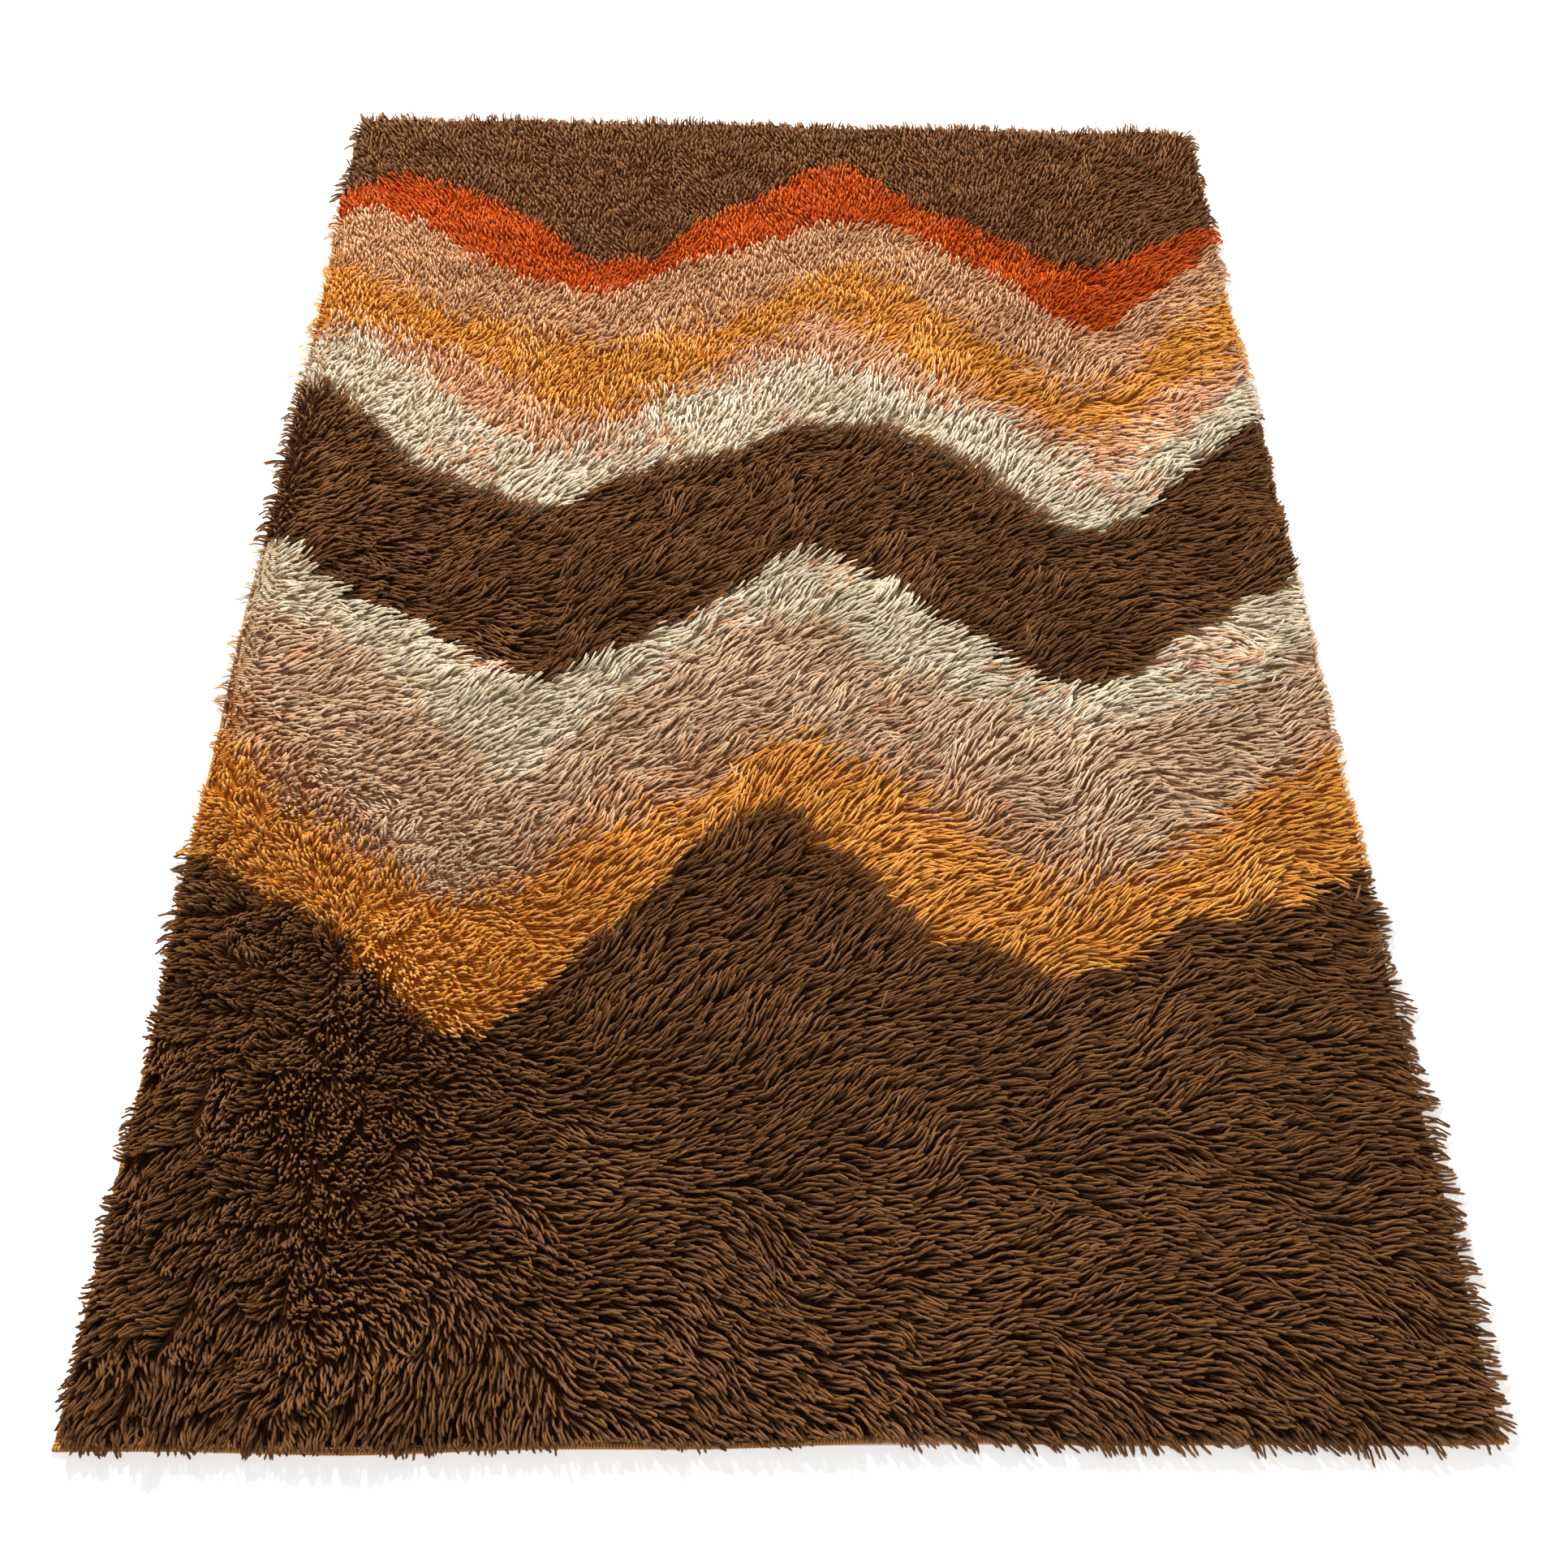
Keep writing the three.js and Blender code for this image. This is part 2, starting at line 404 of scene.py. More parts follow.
@dataclass(frozen=True)
class FlameStitch:
    """Rounded flame-stitch waves that run across the rug, a traditional ornament."""

    period: float = 0.82
    swing: float = 0.112
    point: float = 0.10
    lead: float = 0.55
    drift: float = 0.11
    swell: float = 0.24
    swell_period: float = 1.9
    swell_lead: float = 0.6
    swell_drift: float = 0.35
    unevenness: float = 0.024
    uneven_period: float = 0.53
    uneven_drift: float = 1.9
    wobble: float = 0.009
    wobble_wavelength: float = 0.12
    wobble_drift: float = 0.7
    peach_share: float = 0.34
    peach_ripple: Ripple = Ripple(1.0, 0.24, 1.7)
    peach_fade: Fade = Fade(0.35, 0.7)
    stripes: tuple[Stripe, ...] = (
        Stripe(Wool.BROWN, 9.0, 0.002),
        Stripe(Wool.RUST, 0.86, 0.002),
        Stripe(Wool.TAN, 0.745, 0.003),
        Stripe(Wool.AMBER, 0.60, 0.020),
        Stripe(Wool.PEACH, 0.475, 0.022),
        Stripe(Wool.CREAM, 0.405, 0.018),
        Stripe(Wool.BROWN, 0.275, 0.003),
        Stripe(Wool.CREAM, -0.035, 0.003),
        Stripe(Wool.BEIGE, -0.150, 0.014),
        Stripe(Wool.TAN, -0.325, 0.022),
        Stripe(Wool.AMBER, -0.375, 0.018),
        Stripe(Wool.BROWN, -0.520, 0.002),
    )

    def wave(self, x: Array, number: int) -> Array:
        """The height of one stripe's wave.

        Args:
            x: Places across the rug.
            number: The stripe's number.

        Returns:
            Heights from about -1 to 1.
        """
        turn = TURN * x / self.period + self.lead + self.drift * number
        swelling = TURN * x / self.swell_period + self.swell_lead - self.swell_drift * number
        grown = 1 + self.swell * np.sin(swelling)
        return grown * (np.sin(turn) - self.point * np.sin(3 * turn))

    def stripe_at(self, x: Array, y: Array, scatter: Array) -> Array:
        """Finds the stripe that each knot belongs to.

        Args:
            x: Places across the rug.
            y: Places along the rug.
            scatter: A draw from the normal distribution for each knot, or zeros.

        Returns:
            The stripe's index for each place.
        """
        index = np.zeros(x.shape, int)
        for k, stripe in enumerate(self.stripes):
            uneven = self.unevenness * np.sin(TURN * x / self.uneven_period + self.uneven_drift * k)
            wobble = Ripple(self.wobble, self.wobble_wavelength, self.wobble_drift * k)
            uneven = uneven + wobble.at(x, y)
            line = stripe.far_line + self.swing * self.wave(x, k) + uneven
            index[y < line + scatter * stripe.blend] = k
        return index

    def wools(self, x: Array, y: Array, scatter: Array, chance: Array) -> Array:
        """Picks the wool of each knot.

        Args:
            x: Places across the rug.
            y: Places along the rug.
            scatter: A draw from the normal distribution for each knot, or zeros.
            chance: A draw from 0 to 1 for each knot; 1 keeps the stripe's own wool.

        Returns:
            Indices into the list of Wool.
        """
        order = list(Wool)
        stripe = self.stripe_at(x, y, scatter)
        chosen = np.array([order.index(s.wool) for s in self.stripes])[stripe]
        pale = (chosen == order.index(Wool.CREAM)) | (chosen == order.index(Wool.BEIGE))
        patch = self.peach_fade.at(self.peach_ripple.at(x, y)) * self.peach_share
        chosen[pale & (chance < patch)] = order.index(Wool.PEACH)
        return chosen


@dataclass(frozen=True)
class Comb:
    """How the nap is combed round one place: its heading in degrees and how flat it lies.

    The place is given as shares of the rug's width and length.
    """

    across: float
    along: float
    heading: float
    laid: float


@dataclass(frozen=True)
class Nap:
    """The lie of the pile, combed by hand and ruffled in the near left corner by use."""

    outline: Outline
    reach_of_comb: float = 0.17
    swirls: tuple[Ripple, ...] = (Ripple(0.24, 0.20, 0.9), Ripple(0.16, 0.07, 4.1))
    ruffled_along: Fade = Fade(-0.22, -0.25)
    ruffled_across: Fade = Fade(-0.40, -0.20)
    combs: tuple[Comb, ...] = (
        Comb(0.05, 0.97, 115, 0.52),
        Comb(0.30, 0.97, 98, 0.46),
        Comb(0.60, 0.97, 90, 0.46),
        Comb(0.92, 0.97, 55, 0.70),
        Comb(0.12, 0.86, 100, 0.46),
        Comb(0.45, 0.86, 88, 0.48),
        Comb(0.78, 0.86, 66, 0.54),
        Comb(0.95, 0.84, 15, 0.90),
        Comb(0.10, 0.72, 50, 0.58),
        Comb(0.35, 0.70, 62, 0.62),
        Comb(0.65, 0.70, 48, 0.80),
        Comb(0.92, 0.68, 12, 0.95),
        Comb(0.08, 0.54, 5, 0.90),
        Comb(0.32, 0.54, 24, 0.92),
        Comb(0.62, 0.52, 30, 0.92),
        Comb(0.92, 0.52, 8, 1.00),
        Comb(0.16, 0.38, 4, 0.92),
        Comb(0.38, 0.36, 32, 0.90),
        Comb(0.64, 0.36, 28, 0.95),
        Comb(0.92, 0.34, 4, 1.00),
        Comb(0.05, 0.26, 192, 0.75),
        Comb(0.12, 0.27, 118, 0.30),
        Comb(0.21, 0.25, -12, 0.70),
        Comb(0.42, 0.22, 44, 0.90),
        Comb(0.66, 0.20, 22, 0.95),
        Comb(0.92, 0.18, -4, 1.00),
        Comb(0.04, 0.13, 205, 0.80),
        Comb(0.12, 0.15, 262, 0.40),
        Comb(0.24, 0.12, 2, 0.85),
        Comb(0.42, 0.10, -14, 0.95),
        Comb(0.64, 0.09, 8, 0.95),
        Comb(0.92, 0.08, -14, 0.95),
        Comb(0.08, 0.02, 250, 0.80),
        Comb(0.26, 0.02, 280, 0.80),
        Comb(0.46, 0.02, -42, 0.90),
        Comb(0.68, 0.02, -24, 0.90),
        Comb(0.92, 0.02, -46, 0.85),
    )

    def lie(self, x: Array, y: Array) -> tuple[Array, Array]:
        """The combed nap at each place.

        Args:
            x: Places across the rug.
            y: Places along the rug.

        Returns:
            The nap's flat vector, X and Y parts; its length is how flat the pile lies, to 1.
        """
        total = np.zeros_like(x)
        lie_x = np.zeros_like(x)
        lie_y = np.zeros_like(x)
        for comb in self.combs:
            away_x = x - (comb.across - 0.5) * self.outline.width
            away_y = y - (comb.along - 0.5) * self.outline.length
            weight = np.exp(-(away_x**2 + away_y**2) / self.reach_of_comb**2) + TINY
            total += weight
            lie_x += weight * comb.laid * math.cos(math.radians(comb.heading))
            lie_y += weight * comb.laid * math.sin(math.radians(comb.heading))
        swirl = sum(turn.at(x, y) for turn in self.swirls)
        flat_x = (lie_x * np.cos(swirl) - lie_y * np.sin(swirl)) / total
        flat_y = (lie_x * np.sin(swirl) + lie_y * np.cos(swirl)) / total
        return flat_x, flat_y

    def ruffle(self, x: Array, y: Array) -> Array:
        """How ruffled the pile is at each place, from 0 to 1."""
        return self.ruffled_along.at(y) * self.ruffled_across.at(x)


@dataclass
class Knots:
    """The cut yarns of the pile: where each is knotted in, how it leans and sways, and its wool."""

    root: Array
    lean: Array
    rise: Array
    phase: Array
    wool: Array
    tone: Array

    def __len__(self) -> int:
        """The number of yarns."""
        return len(self.root)

    def chosen(self, mask: Array) -> "Knots":
        """The yarns that a mask picks."""
        return Knots(*(getattr(self, part.name)[mask] for part in fields(self)))


@dataclass(frozen=True)
class Rim:
    """How the pile lies over one side's bound edge, in millimetres.

    Within the band it is combed out over the edge, as strongly as the pull says. Its tips pass the
    edge by the least everywhere and by the locks more where the locks are full. At the near end
    the locks lose some and the side gains some. Beside one place along the rug it gains too.
    """

    band: float
    pull: float
    least: float
    locks: float
    locks_lost: float = 0.0
    near_gain: float = 0.0
    gain: float = 0.0
    place: float = 0.0


RIMS: dict[Side, Rim] = {
    Side.LEFT: Rim(band=44, pull=1.0, least=-8, locks=34, locks_lost=18, gain=24, place=0.24),
    Side.RIGHT: Rim(band=40, pull=0.9, least=-4, locks=18, near_gain=21, gain=-18, place=0.08),
    Side.NEAR: Rim(band=46, pull=0.45, least=-5, locks=8),
    Side.FAR: Rim(band=52, pull=0.9, least=-2, locks=20),
}


@dataclass
class Knotting:
    """Sets the knots of the pile in jittered rows and works out how each yarn lies."""

    outline: Outline
    design: FlameStitch
    nap: Nap
    # The rows of knots, and the round of knots close to the rim.
    row_pitch: float = 8.75 * MM
    jitter: float = 0.30
    rows_inset: float = 0.6
    stagger: float = 0.25
    rim_inset: float = 10.8 * MM
    rim_pitch: float = 6.2 * MM
    # The dense foot, and how deep in it the yarns start.
    foot_share: float = 0.64
    far_foot_share: float = 0.80
    foot_bevel: float = 4 * MM
    root_depth: float = 2.5 * MM
    wall_root: float = 0.05
    far_end: Fade = Fade(0.30, 0.40)
    # How far the yarns lean, and how their headings turn, in radians.
    far_stand: float = 0.26
    least_laid: float = 0.34
    laid_reach: float = 34.5 * MM
    reach_range: tuple[float, float] = (0.80, 1.14)
    tuft_size: float = 22 * MM
    lock_size: float = 46 * MM
    patch_size: float = 92 * MM
    patch_turn: float = 0.30
    tuft_turn: float = 0.13
    yarn_turn: float = 0.055
    stray_turn: float = 0.35
    stray_share: float = 0.05
    # How far the tips draw together in their tufts and locks, as shares of the way.
    to_tuft: float = 0.18
    rim_to_tuft: float = 0.40
    to_lock: float = 0.06
    rim_to_lock: float = 0.20
    # What the ruffled corner adds.
    ruffle_turn: float = 0.80
    ruffle_clump: float = 0.04
    ruffle_stand: float = 0.14
    ruffle_fill: float = 0.55
    ruffle_rise: float = 1.6
    ruffle_shingle: float = 0.7
    # How far the tips stand over the nap, and how high the yarns arch on their way.
    tip_spread: float = 1.8 * MM
    tuft_rise: float = 1.6 * MM
    shingle: float = 3.2 * MM
    shingle_end: float = 1.1
    upright_rise: float = 4 * MM
    tip_floor: float = 4 * MM
    tip_ceiling: float = 43 * MM
    arch: float = 0.84
    rim_arch: float = 0.75
    # How the yarns sway, and how their dye has faded.
    sway_ripple: Ripple = Ripple(3.4, 0.16, 3.7)
    sway_scatter: float = 0.5
    fading: tuple[Ripple, ...] = (Ripple(0.17, 0.27, 5.3), Ripple(0.10, 0.09, 2.2))
    tone_scatter: float = 0.20
    tone_levels: int = 64
    brightest: float = 0.999
    # The fringe of yarns that hang over the rim.
    rim_ripple: Ripple = Ripple(0.9, 0.10, 2.6)
    rim_fullness: float = 0.42
    rim_reach_range: tuple[float, float] = (0.75, 1.12)
    rim_yarn: float = 30 * MM
    rim_yarn_gain: float = 7 * MM
    rim_scatter: float = 2 * MM
    rim_room: float = 3 * MM
    over_edge: float = 15 * MM
    over_edge_droop: float = 0.55
    over_edge_spread: float = 0.7
    near_end: Fade = Fade(-0.35, -0.45)
    hanging: Fade = Fade(-0.25, -0.2)
    hanging_gain: float = 2 * MM
    near_fringe: Fade = Fade(0.04, 0.16)
    near_fringe_gain: float = 16 * MM
    left_least_pull: float = 0.1
    left_lock_pull: float = 0.9
    left_full_pull: float = 0.85
    stretch: float = 0.34
    seed: int = 1974

    def places(self, random: np.random.Generator) -> tuple[Array, Array]:
        """Where the knots are, on the straight-sided rug.

        Args:
            random: Source of the jitter.

        Returns:
            Places across and along the rug: the rows, then more between them where the pile is
            ruffled, then one round close to the rim.
        """
        rim_x = self.outline.half_width - self.rim_inset
        rim_y = self.outline.half_length - self.rim_inset
        half_x = rim_x - self.rows_inset * self.row_pitch
        half_y = rim_y - self.rows_inset * self.row_pitch
        across = np.arange(-half_x, half_x, self.row_pitch)
        along = np.arange(-half_y, half_y, self.row_pitch)
        grid_x, grid_y = np.meshgrid(across, along)
        grid_x[::2] += self.row_pitch * self.stagger
        grid_x[1::2] -= self.row_pitch * self.stagger
        offset = self.row_pitch * self.jitter
        grid_x = grid_x.ravel() + random.uniform(-offset, offset, grid_x.size)
        grid_y = grid_y.ravel() + random.uniform(-offset, offset, grid_y.size)
        filled = self.ruffle_fill * self.nap.ruffle(grid_x, grid_y)
        extra = random.uniform(0, 1, grid_x.size) < filled
        extra_x = grid_x[extra] + self.row_pitch / 2
        extra_y = grid_y[extra] + self.row_pitch / 2
        run_x = np.arange(-rim_x, rim_x, self.rim_pitch)
        run_y = np.arange(-rim_y, rim_y, self.rim_pitch)
        side_x = np.full(run_y.size, rim_x)
        end_y = np.full(run_x.size, rim_y)
        x = np.concatenate([grid_x, extra_x, run_x, run_x, -side_x, side_x])
        y = np.concatenate([grid_y, extra_y, -end_y, end_y, run_y, run_y])
        return self.outline.rounded(x, y, self.rim_inset)

    def tufts(self, x: Array, y: Array, size: float, seed: int) -> tuple[Array, Array, Array]:
        """The tuft that each knot belongs to, the nearest of a jittered grid.

        Args:
            x: Places of the knots across the rug.
            y: Places of the knots along the rug.
            size: Mean width of a tuft.
            seed: Seed of the jitter.

        Returns:
            The tuft's middle, across and along the rug, and its own draw from -1 to 1.
        """
        margin = 3
        most_stray = 0.48
        columns = math.ceil(self.outline.width / size) + 2 * margin
        rows = math.ceil(self.outline.length / size) + 2 * margin
        random = np.random.default_rng(seed)
        stray = random.uniform(-most_stray, most_stray, (2, columns, rows))
        draws = random.uniform(-1, 1, (columns, rows))
        column = np.floor((x + self.outline.half_width) / size).astype(int) + margin
        row = np.floor((y + self.outline.half_length) / size).astype(int) + margin
        best_x, best_y, draw = x.copy(), y.copy(), np.zeros_like(x)
        nearest = np.full_like(x, np.inf)
        for step_x in (-1, 0, 1):
            for step_y in (-1, 0, 1):
                i, j = column + step_x, row + step_y
                middle_x = (i - margin + 0.5 + stray[0, i, j]) * size - self.outline.half_width
                middle_y = (j - margin + 0.5 + stray[1, i, j]) * size - self.outline.half_length
                away = np.hypot(middle_x - x, middle_y - y)
                closer = away < nearest
                nearest = np.where(closer, away, nearest)
                best_x = np.where(closer, middle_x, best_x)
                best_y = np.where(closer, middle_y, best_y)
                draw = np.where(closer, draws[i, j], draw)
        return best_x, best_y, draw

    def outward(self, x: Array, y: Array) -> tuple[Array, Array, Array]:
        """How much each knot near the rim is combed out over it.

        Args:
            x: Places of the knots across the rug.
            y: Places of the knots along the rug.

        Returns:
            The outward direction, X and Y parts, and its weight from 0 to 1.
        """
        out_x = np.zeros_like(x)
        out_y = np.zeros_like(y)
        for side, rim in RIMS.items():
            face_x, face_y = side.value
            inside = face_x * (face_x * self.outline.half_width - x)
            inside = inside + face_y * (face_y * self.outline.half_length - y)
            share = smooth(1 - inside / (rim.band * MM)) * rim.pull
            if side is Side.LEFT:
                in_locks = self.left_least_pull + self.left_lock_pull * self.rim_locks(x, y)
                full = self.left_full_pull * self.beside(y, rim.place)
                share = share * np.minimum(1, in_locks + full)
            if side is Side.NEAR:
                share = share * (1 + self.hanging.at(x))
            out_x += face_x * share
            out_y += face_y * share
        length = np.hypot(out_x, out_y)
        safe = np.maximum(length, TINY)
        return out_x / safe, out_y / safe, np.minimum(1.0, length)

    def knot(self) -> Knots:
        """Sets every knot.

        Returns:
            The knots of the whole pile.
        """
        random = np.random.default_rng(self.seed)
        x, y = self.places(random)
        count = x.size
        tuft_x, tuft_y, tuft_draw = self.tufts(x, y, self.tuft_size, self.seed + 1)
        lock_x, lock_y, lock_draw = self.tufts(x, y, self.lock_size, self.seed + 2)
        _, _, patch_draw = self.tufts(x, y, self.patch_size, self.seed + 3)

        nap_x, nap_y = self.nap.lie(x, y)
        laid = np.clip(np.hypot(nap_x, nap_y), self.least_laid, 1.0)
        stray = random.uniform(0, 1, count) < self.stray_share
        ruffle = self.nap.ruffle(x, y)
        turned = self.patch_turn * patch_draw + self.tuft_turn * (tuft_draw + lock_draw)
        turned = turned + ruffle * self.ruffle_turn * lock_draw
        loose = random.normal(0, 1, count) * np.where(stray, self.stray_turn, self.yarn_turn)
        heading = np.arctan2(nap_y, nap_x) + turned + loose
        upright_far = self.far_stand * self.far_end.at(y)
        laid = laid * (1 - self.ruffle_stand * ruffle) * (1 - upright_far)
        reach = self.laid_reach * laid * random.uniform(*self.reach_range, count)
        lean_x = reach * np.cos(heading)
        lean_y = reach * np.sin(heading)

        out_x, out_y, weight = self.outward(x, y)
        rim_reach = self.rim_reach(y) * random.uniform(*self.rim_reach_range, count)
        lean_x = lean_x * (1 - weight) + out_x * rim_reach * weight
        lean_y = lean_y * (1 - weight) + out_y * rim_reach * weight

        clump = self.ruffle_clump * ruffle * (1 - weight)
        to_tuft = self.to_tuft + self.rim_to_tuft * weight + clump
        to_lock = self.to_lock + self.rim_to_lock * weight + clump
        lean_x = lean_x + (tuft_x - x) * to_tuft + (lock_x - x) * to_lock
        lean_y = lean_y + (tuft_y - y) * to_tuft + (lock_y - y) * to_lock
        scatter = random.normal(0, self.rim_scatter, count)
        keep = self.held_in(x, y, lean_x, lean_y, scatter)
        lean_x = lean_x * keep
        lean_y = lean_y * keep

        lift = self.tuft_rise * tuft_draw * (1 + self.ruffle_rise * ruffle)
        spread = random.normal(0, self.tip_spread, count) + lift
        ahead = (x - lock_x) * np.cos(heading) + (y - lock_y) * np.sin(heading)
        onward = np.clip(ahead / (self.lock_size / 2), -self.shingle_end, self.shingle_end)
        shingle = self.shingle * onward * (1 + self.ruffle_shingle * ruffle)
        raised = shingle + self.upright_rise * (1 - laid)
        root_z, tip_z, rise = self.heights(x, y, x + lean_x, y + lean_y, spread, raised)

        sway = self.sway_ripple.at(x, y)
        phase = sway + random.normal(0, self.sway_scatter, count)
        root_x, root_y = self.outline.wandered(x, y)
        blend = random.normal(0, 1, count)
        wool = self.design.wools(x, y, blend, random.uniform(0, 1, count))
        root = np.stack([root_x, root_y, root_z], axis=1)
        lean = np.stack([lean_x, lean_y, tip_z - root_z], axis=1)
        faded = 0.5 + sum(patch.at(x, y) for patch in self.fading)
        tone = np.clip(faded + random.normal(0, self.tone_scatter, count), 0, self.brightest)
        level = (np.floor(tone * self.tone_levels) + 0.5) / self.tone_levels
        return Knots(root, lean, rise, phase, wool, level)

    def heights(
        self, x: Array, y: Array, tip_x: Array, tip_y: Array, spread: Array, raised: Array
    ) -> tuple[Array, Array, Array]:
        """How high each yarn starts, ends and rises between.

        Args:
            x: Places of the knots across the rug.
            y: Places of the knots along the rug.
            tip_x: Places of the tips across the rug.
            tip_y: Places of the tips along the rug.
            spread: How far each tip stands above the nap, from yarn to yarn and tuft to tuft.
            raised: How far it stands above the nap by its place in its lock and its lie.

        Returns:
            Heights of the roots and the tips over the floor, and the rise of each yarn's bend.
        """
        foot = self.outline.pile_foot
        beyond = np.maximum(0, -self.outline.from_rim(tip_x, tip_y))
        from_wall = (self.outline.from_rim(x, y) - self.outline.inside_edge) / self.foot_bevel
        standing = self.foot_top(x, y) - foot - self.root_depth
        root_z = foot + standing * np.clip(from_wall, self.wall_root, 1.0)
        top = self.outline.pile_top(tip_x, tip_y) + spread + raised
        droop = self.over_edge - self.over_edge_droop * beyond + self.over_edge_spread * spread
        tip_z = np.where(beyond > 0, np.minimum(top, droop), top)
        tip_z = np.clip(tip_z, self.tip_floor, self.tip_ceiling)
        rim_rise = self.rim_arch * (self.outline.pile_top(x, y) - root_z)
        return root_z, tip_z, np.where(beyond > 0, rim_rise, self.arch * (tip_z - root_z))

    def foot_top(self, x: Array, y: Array) -> Array:
        """Height of the pile's dense foot, which is higher at the less worn far end.

        Args:
            x: Places across the rug.
            y: Places along the rug.

        Returns:
            Heights over the floor, in metres.
        """
        foot = self.outline.pile_foot
        share = self.foot_share + (self.far_foot_share - self.foot_share) * self.far_end.at(y)
        return foot + (self.outline.pile_top(x, y) - foot) * share

    def beside(self, y: Array, place: float) -> Array:
        """How close each place along the rug is to the middle of a stretch, from 0 to 1."""
        return np.exp(-(((y - place) / self.stretch) ** 2))

    def rim_locks(self, x: Array, y: Array) -> Array:
        """How far out the pile hangs at each place of the rim, from 0 to 1, in uneven locks."""
        return smooth(self.rim_fullness + self.rim_ripple.at(x, y))

    def rim_reach(self, y: Array) -> Array:
        """How far the rim's yarns reach: farthest at the near end and where the left is fullest."""
        gained = self.near_end.at(y) + self.beside(y, RIMS[Side.LEFT].place)
        return self.rim_yarn + self.rim_yarn_gain * gained

    def rim_limit(self, side: Side, x: Array, y: Array) -> Array:
        """How far tips may pass one bound edge.

        Args:
            side: The edge.
            x: Places of the knots across the rug.
            y: Places of the knots along the rug.

        Returns:
            Distances in metres.
        """
        rim = RIMS[side]
        near = self.near_end.at(y)
        limit = rim.least + (rim.locks - rim.locks_lost * near) * self.rim_locks(x, y)
        limit = (limit + rim.near_gain * near + rim.gain * self.beside(y, rim.place)) * MM
        if side is Side.NEAR:
            limit = limit + self.hanging_gain * self.hanging.at(x)
            limit = limit + self.near_fringe_gain * self.near_fringe.at(x)
        return limit

    def held_in(self, x: Array, y: Array, lean_x: Array, lean_y: Array, scatter: Array) -> Array:
        """How much of its lean each yarn keeps, so that its tip stays within each side's limit.

        Args:
            x: Places of the knots across the rug.
            y: Places of the knots along the rug.
            lean_x: How far each tip lies across from its knot.
            lean_y: How far each tip lies along from its knot.
            scatter: A little more or less room for each yarn.

        Returns:
            Shares from 0 to 1.
        """
        keep = np.ones_like(x)
        for side in Side:
            face_x, face_y = side.value
            half = abs(face_x) * self.outline.half_width + abs(face_y) * self.outline.half_length
            past = self.rim_limit(side, x, y) + scatter
            room = np.maximum(half - face_x * x - face_y * y + past, self.rim_room)
            reach = np.maximum(face_x * lean_x + face_y * lean_y, TINY)
            keep = np.minimum(keep, room / reach)
        return keep


class NodeTree:
    """A node tree under construction, with short calls for its usual nodes."""

    def __init__(self, name: str, kind: str) -> None:
        """Starts an empty tree.

        Args:
            name: The tree's name.
            kind: "GeometryNodeTree" or "ShaderNodeTree".
        """
        self.group = bpy.data.node_groups.new(name, kind)
        self.entry = self.group.nodes.new("NodeGroupInput")
        self.exit = self.group.nodes.new("NodeGroupOutput")

    def takes(self, name: str, kind: str, value: object = None) -> Socket:
        """Adds a named input.

        Args:
            name: The input's name.
            kind: Its socket type.
            value: Its default, if any.

        Returns:
            The socket to link from.
        """
        item = self.group.interface.new_socket(name=name, in_out="INPUT", socket_type=kind)
        if value is not None:
            item.default_value = value
        return self.entry.outputs[name]

    def gives(self, name: str, kind: str, source: Socket) -> None:
        """Adds a named output fed by a socket."""
        self.group.interface.new_socket(name=name, in_out="OUTPUT", socket_type=kind)
        self.group.links.new(source, self.exit.inputs[name])

    def node(self, kind: str, **settings: object) -> bpy.types.Node:
        """Adds a node and sets its properties.

        Args:
            kind: The node's type.
            settings: Its properties by name.

        Returns:
            The node.
        """
        made = self.group.nodes.new(kind)
        for key, value in settings.items():
            setattr(made, key, value)
        return made

    def feed(self, node: bpy.types.Node, **values: object) -> bpy.types.Node:
        """Sets or links a node's inputs, named with underscores for spaces.

        Args:
            node: The node.
            values: A socket to link from, or a plain value, for each input.

        Returns:
            The same node.
        """
        for key, value in values.items():
            self.plug(node.inputs[key.replace("_", " ")], value)
        return node

    def plug(self, target: Socket, value: object) -> None:
        """Links a socket to an input, or sets a plain value on it.

        Args:
            target: The input.
            value: The socket or the value.
        """
        if isinstance(value, Socket):
            self.group.links.new(value, target)
        else:
            target.default_value = value

    def math(self, operation: str, *values: object) -> Socket:
        """Adds a Math node.

        Args:
            operation: The node's operation.
            values: Sockets or numbers, one for each of its inputs.

        Returns:
            The result.
        """
        made = self.node("ShaderNodeMath", operation=operation)
        for slot, value in enumerate(values):
            self.plug(made.inputs[slot], value)
        return made.outputs[0]

    def vector(self, operation: str, *values: object) -> Socket:
        """Adds a Vector Math node and returns its vector.

        Args:
            operation: The node's operation. The second value of SCALE is its factor.
            values: Sockets, or plain vectors.

        Returns:
            The vector result.
        """
        made = self.node("ShaderNodeVectorMath", operation=operation)
        for slot, value in enumerate(values):
            is_factor = operation == "SCALE" and slot == 1
            self.plug(made.inputs["Scale"] if is_factor else made.inputs[slot], value)
        return made.outputs["Vector"]

    def parts(self, vector: Socket) -> list[Socket]:
        """Splits a vector into its parts.

        Args:
            vector: The vector.

        Returns:
            Its X, Y and Z.
        """
        made = self.node("ShaderNodeSeparateXYZ")
        self.plug(made.inputs[0], vector)
        return list(made.outputs)

    def together(self, x: object, y: object, z: object) -> Socket:
        """Joins three values into a vector.

        Args:
            x: Its X, a socket or a number.
            y: Its Y.
            z: Its Z.

        Returns:
            The vector.
        """
        made = self.node("ShaderNodeCombineXYZ")
        for slot, value in enumerate((x, y, z)):
            self.plug(made.inputs[slot], value)
        return made.outputs[0]


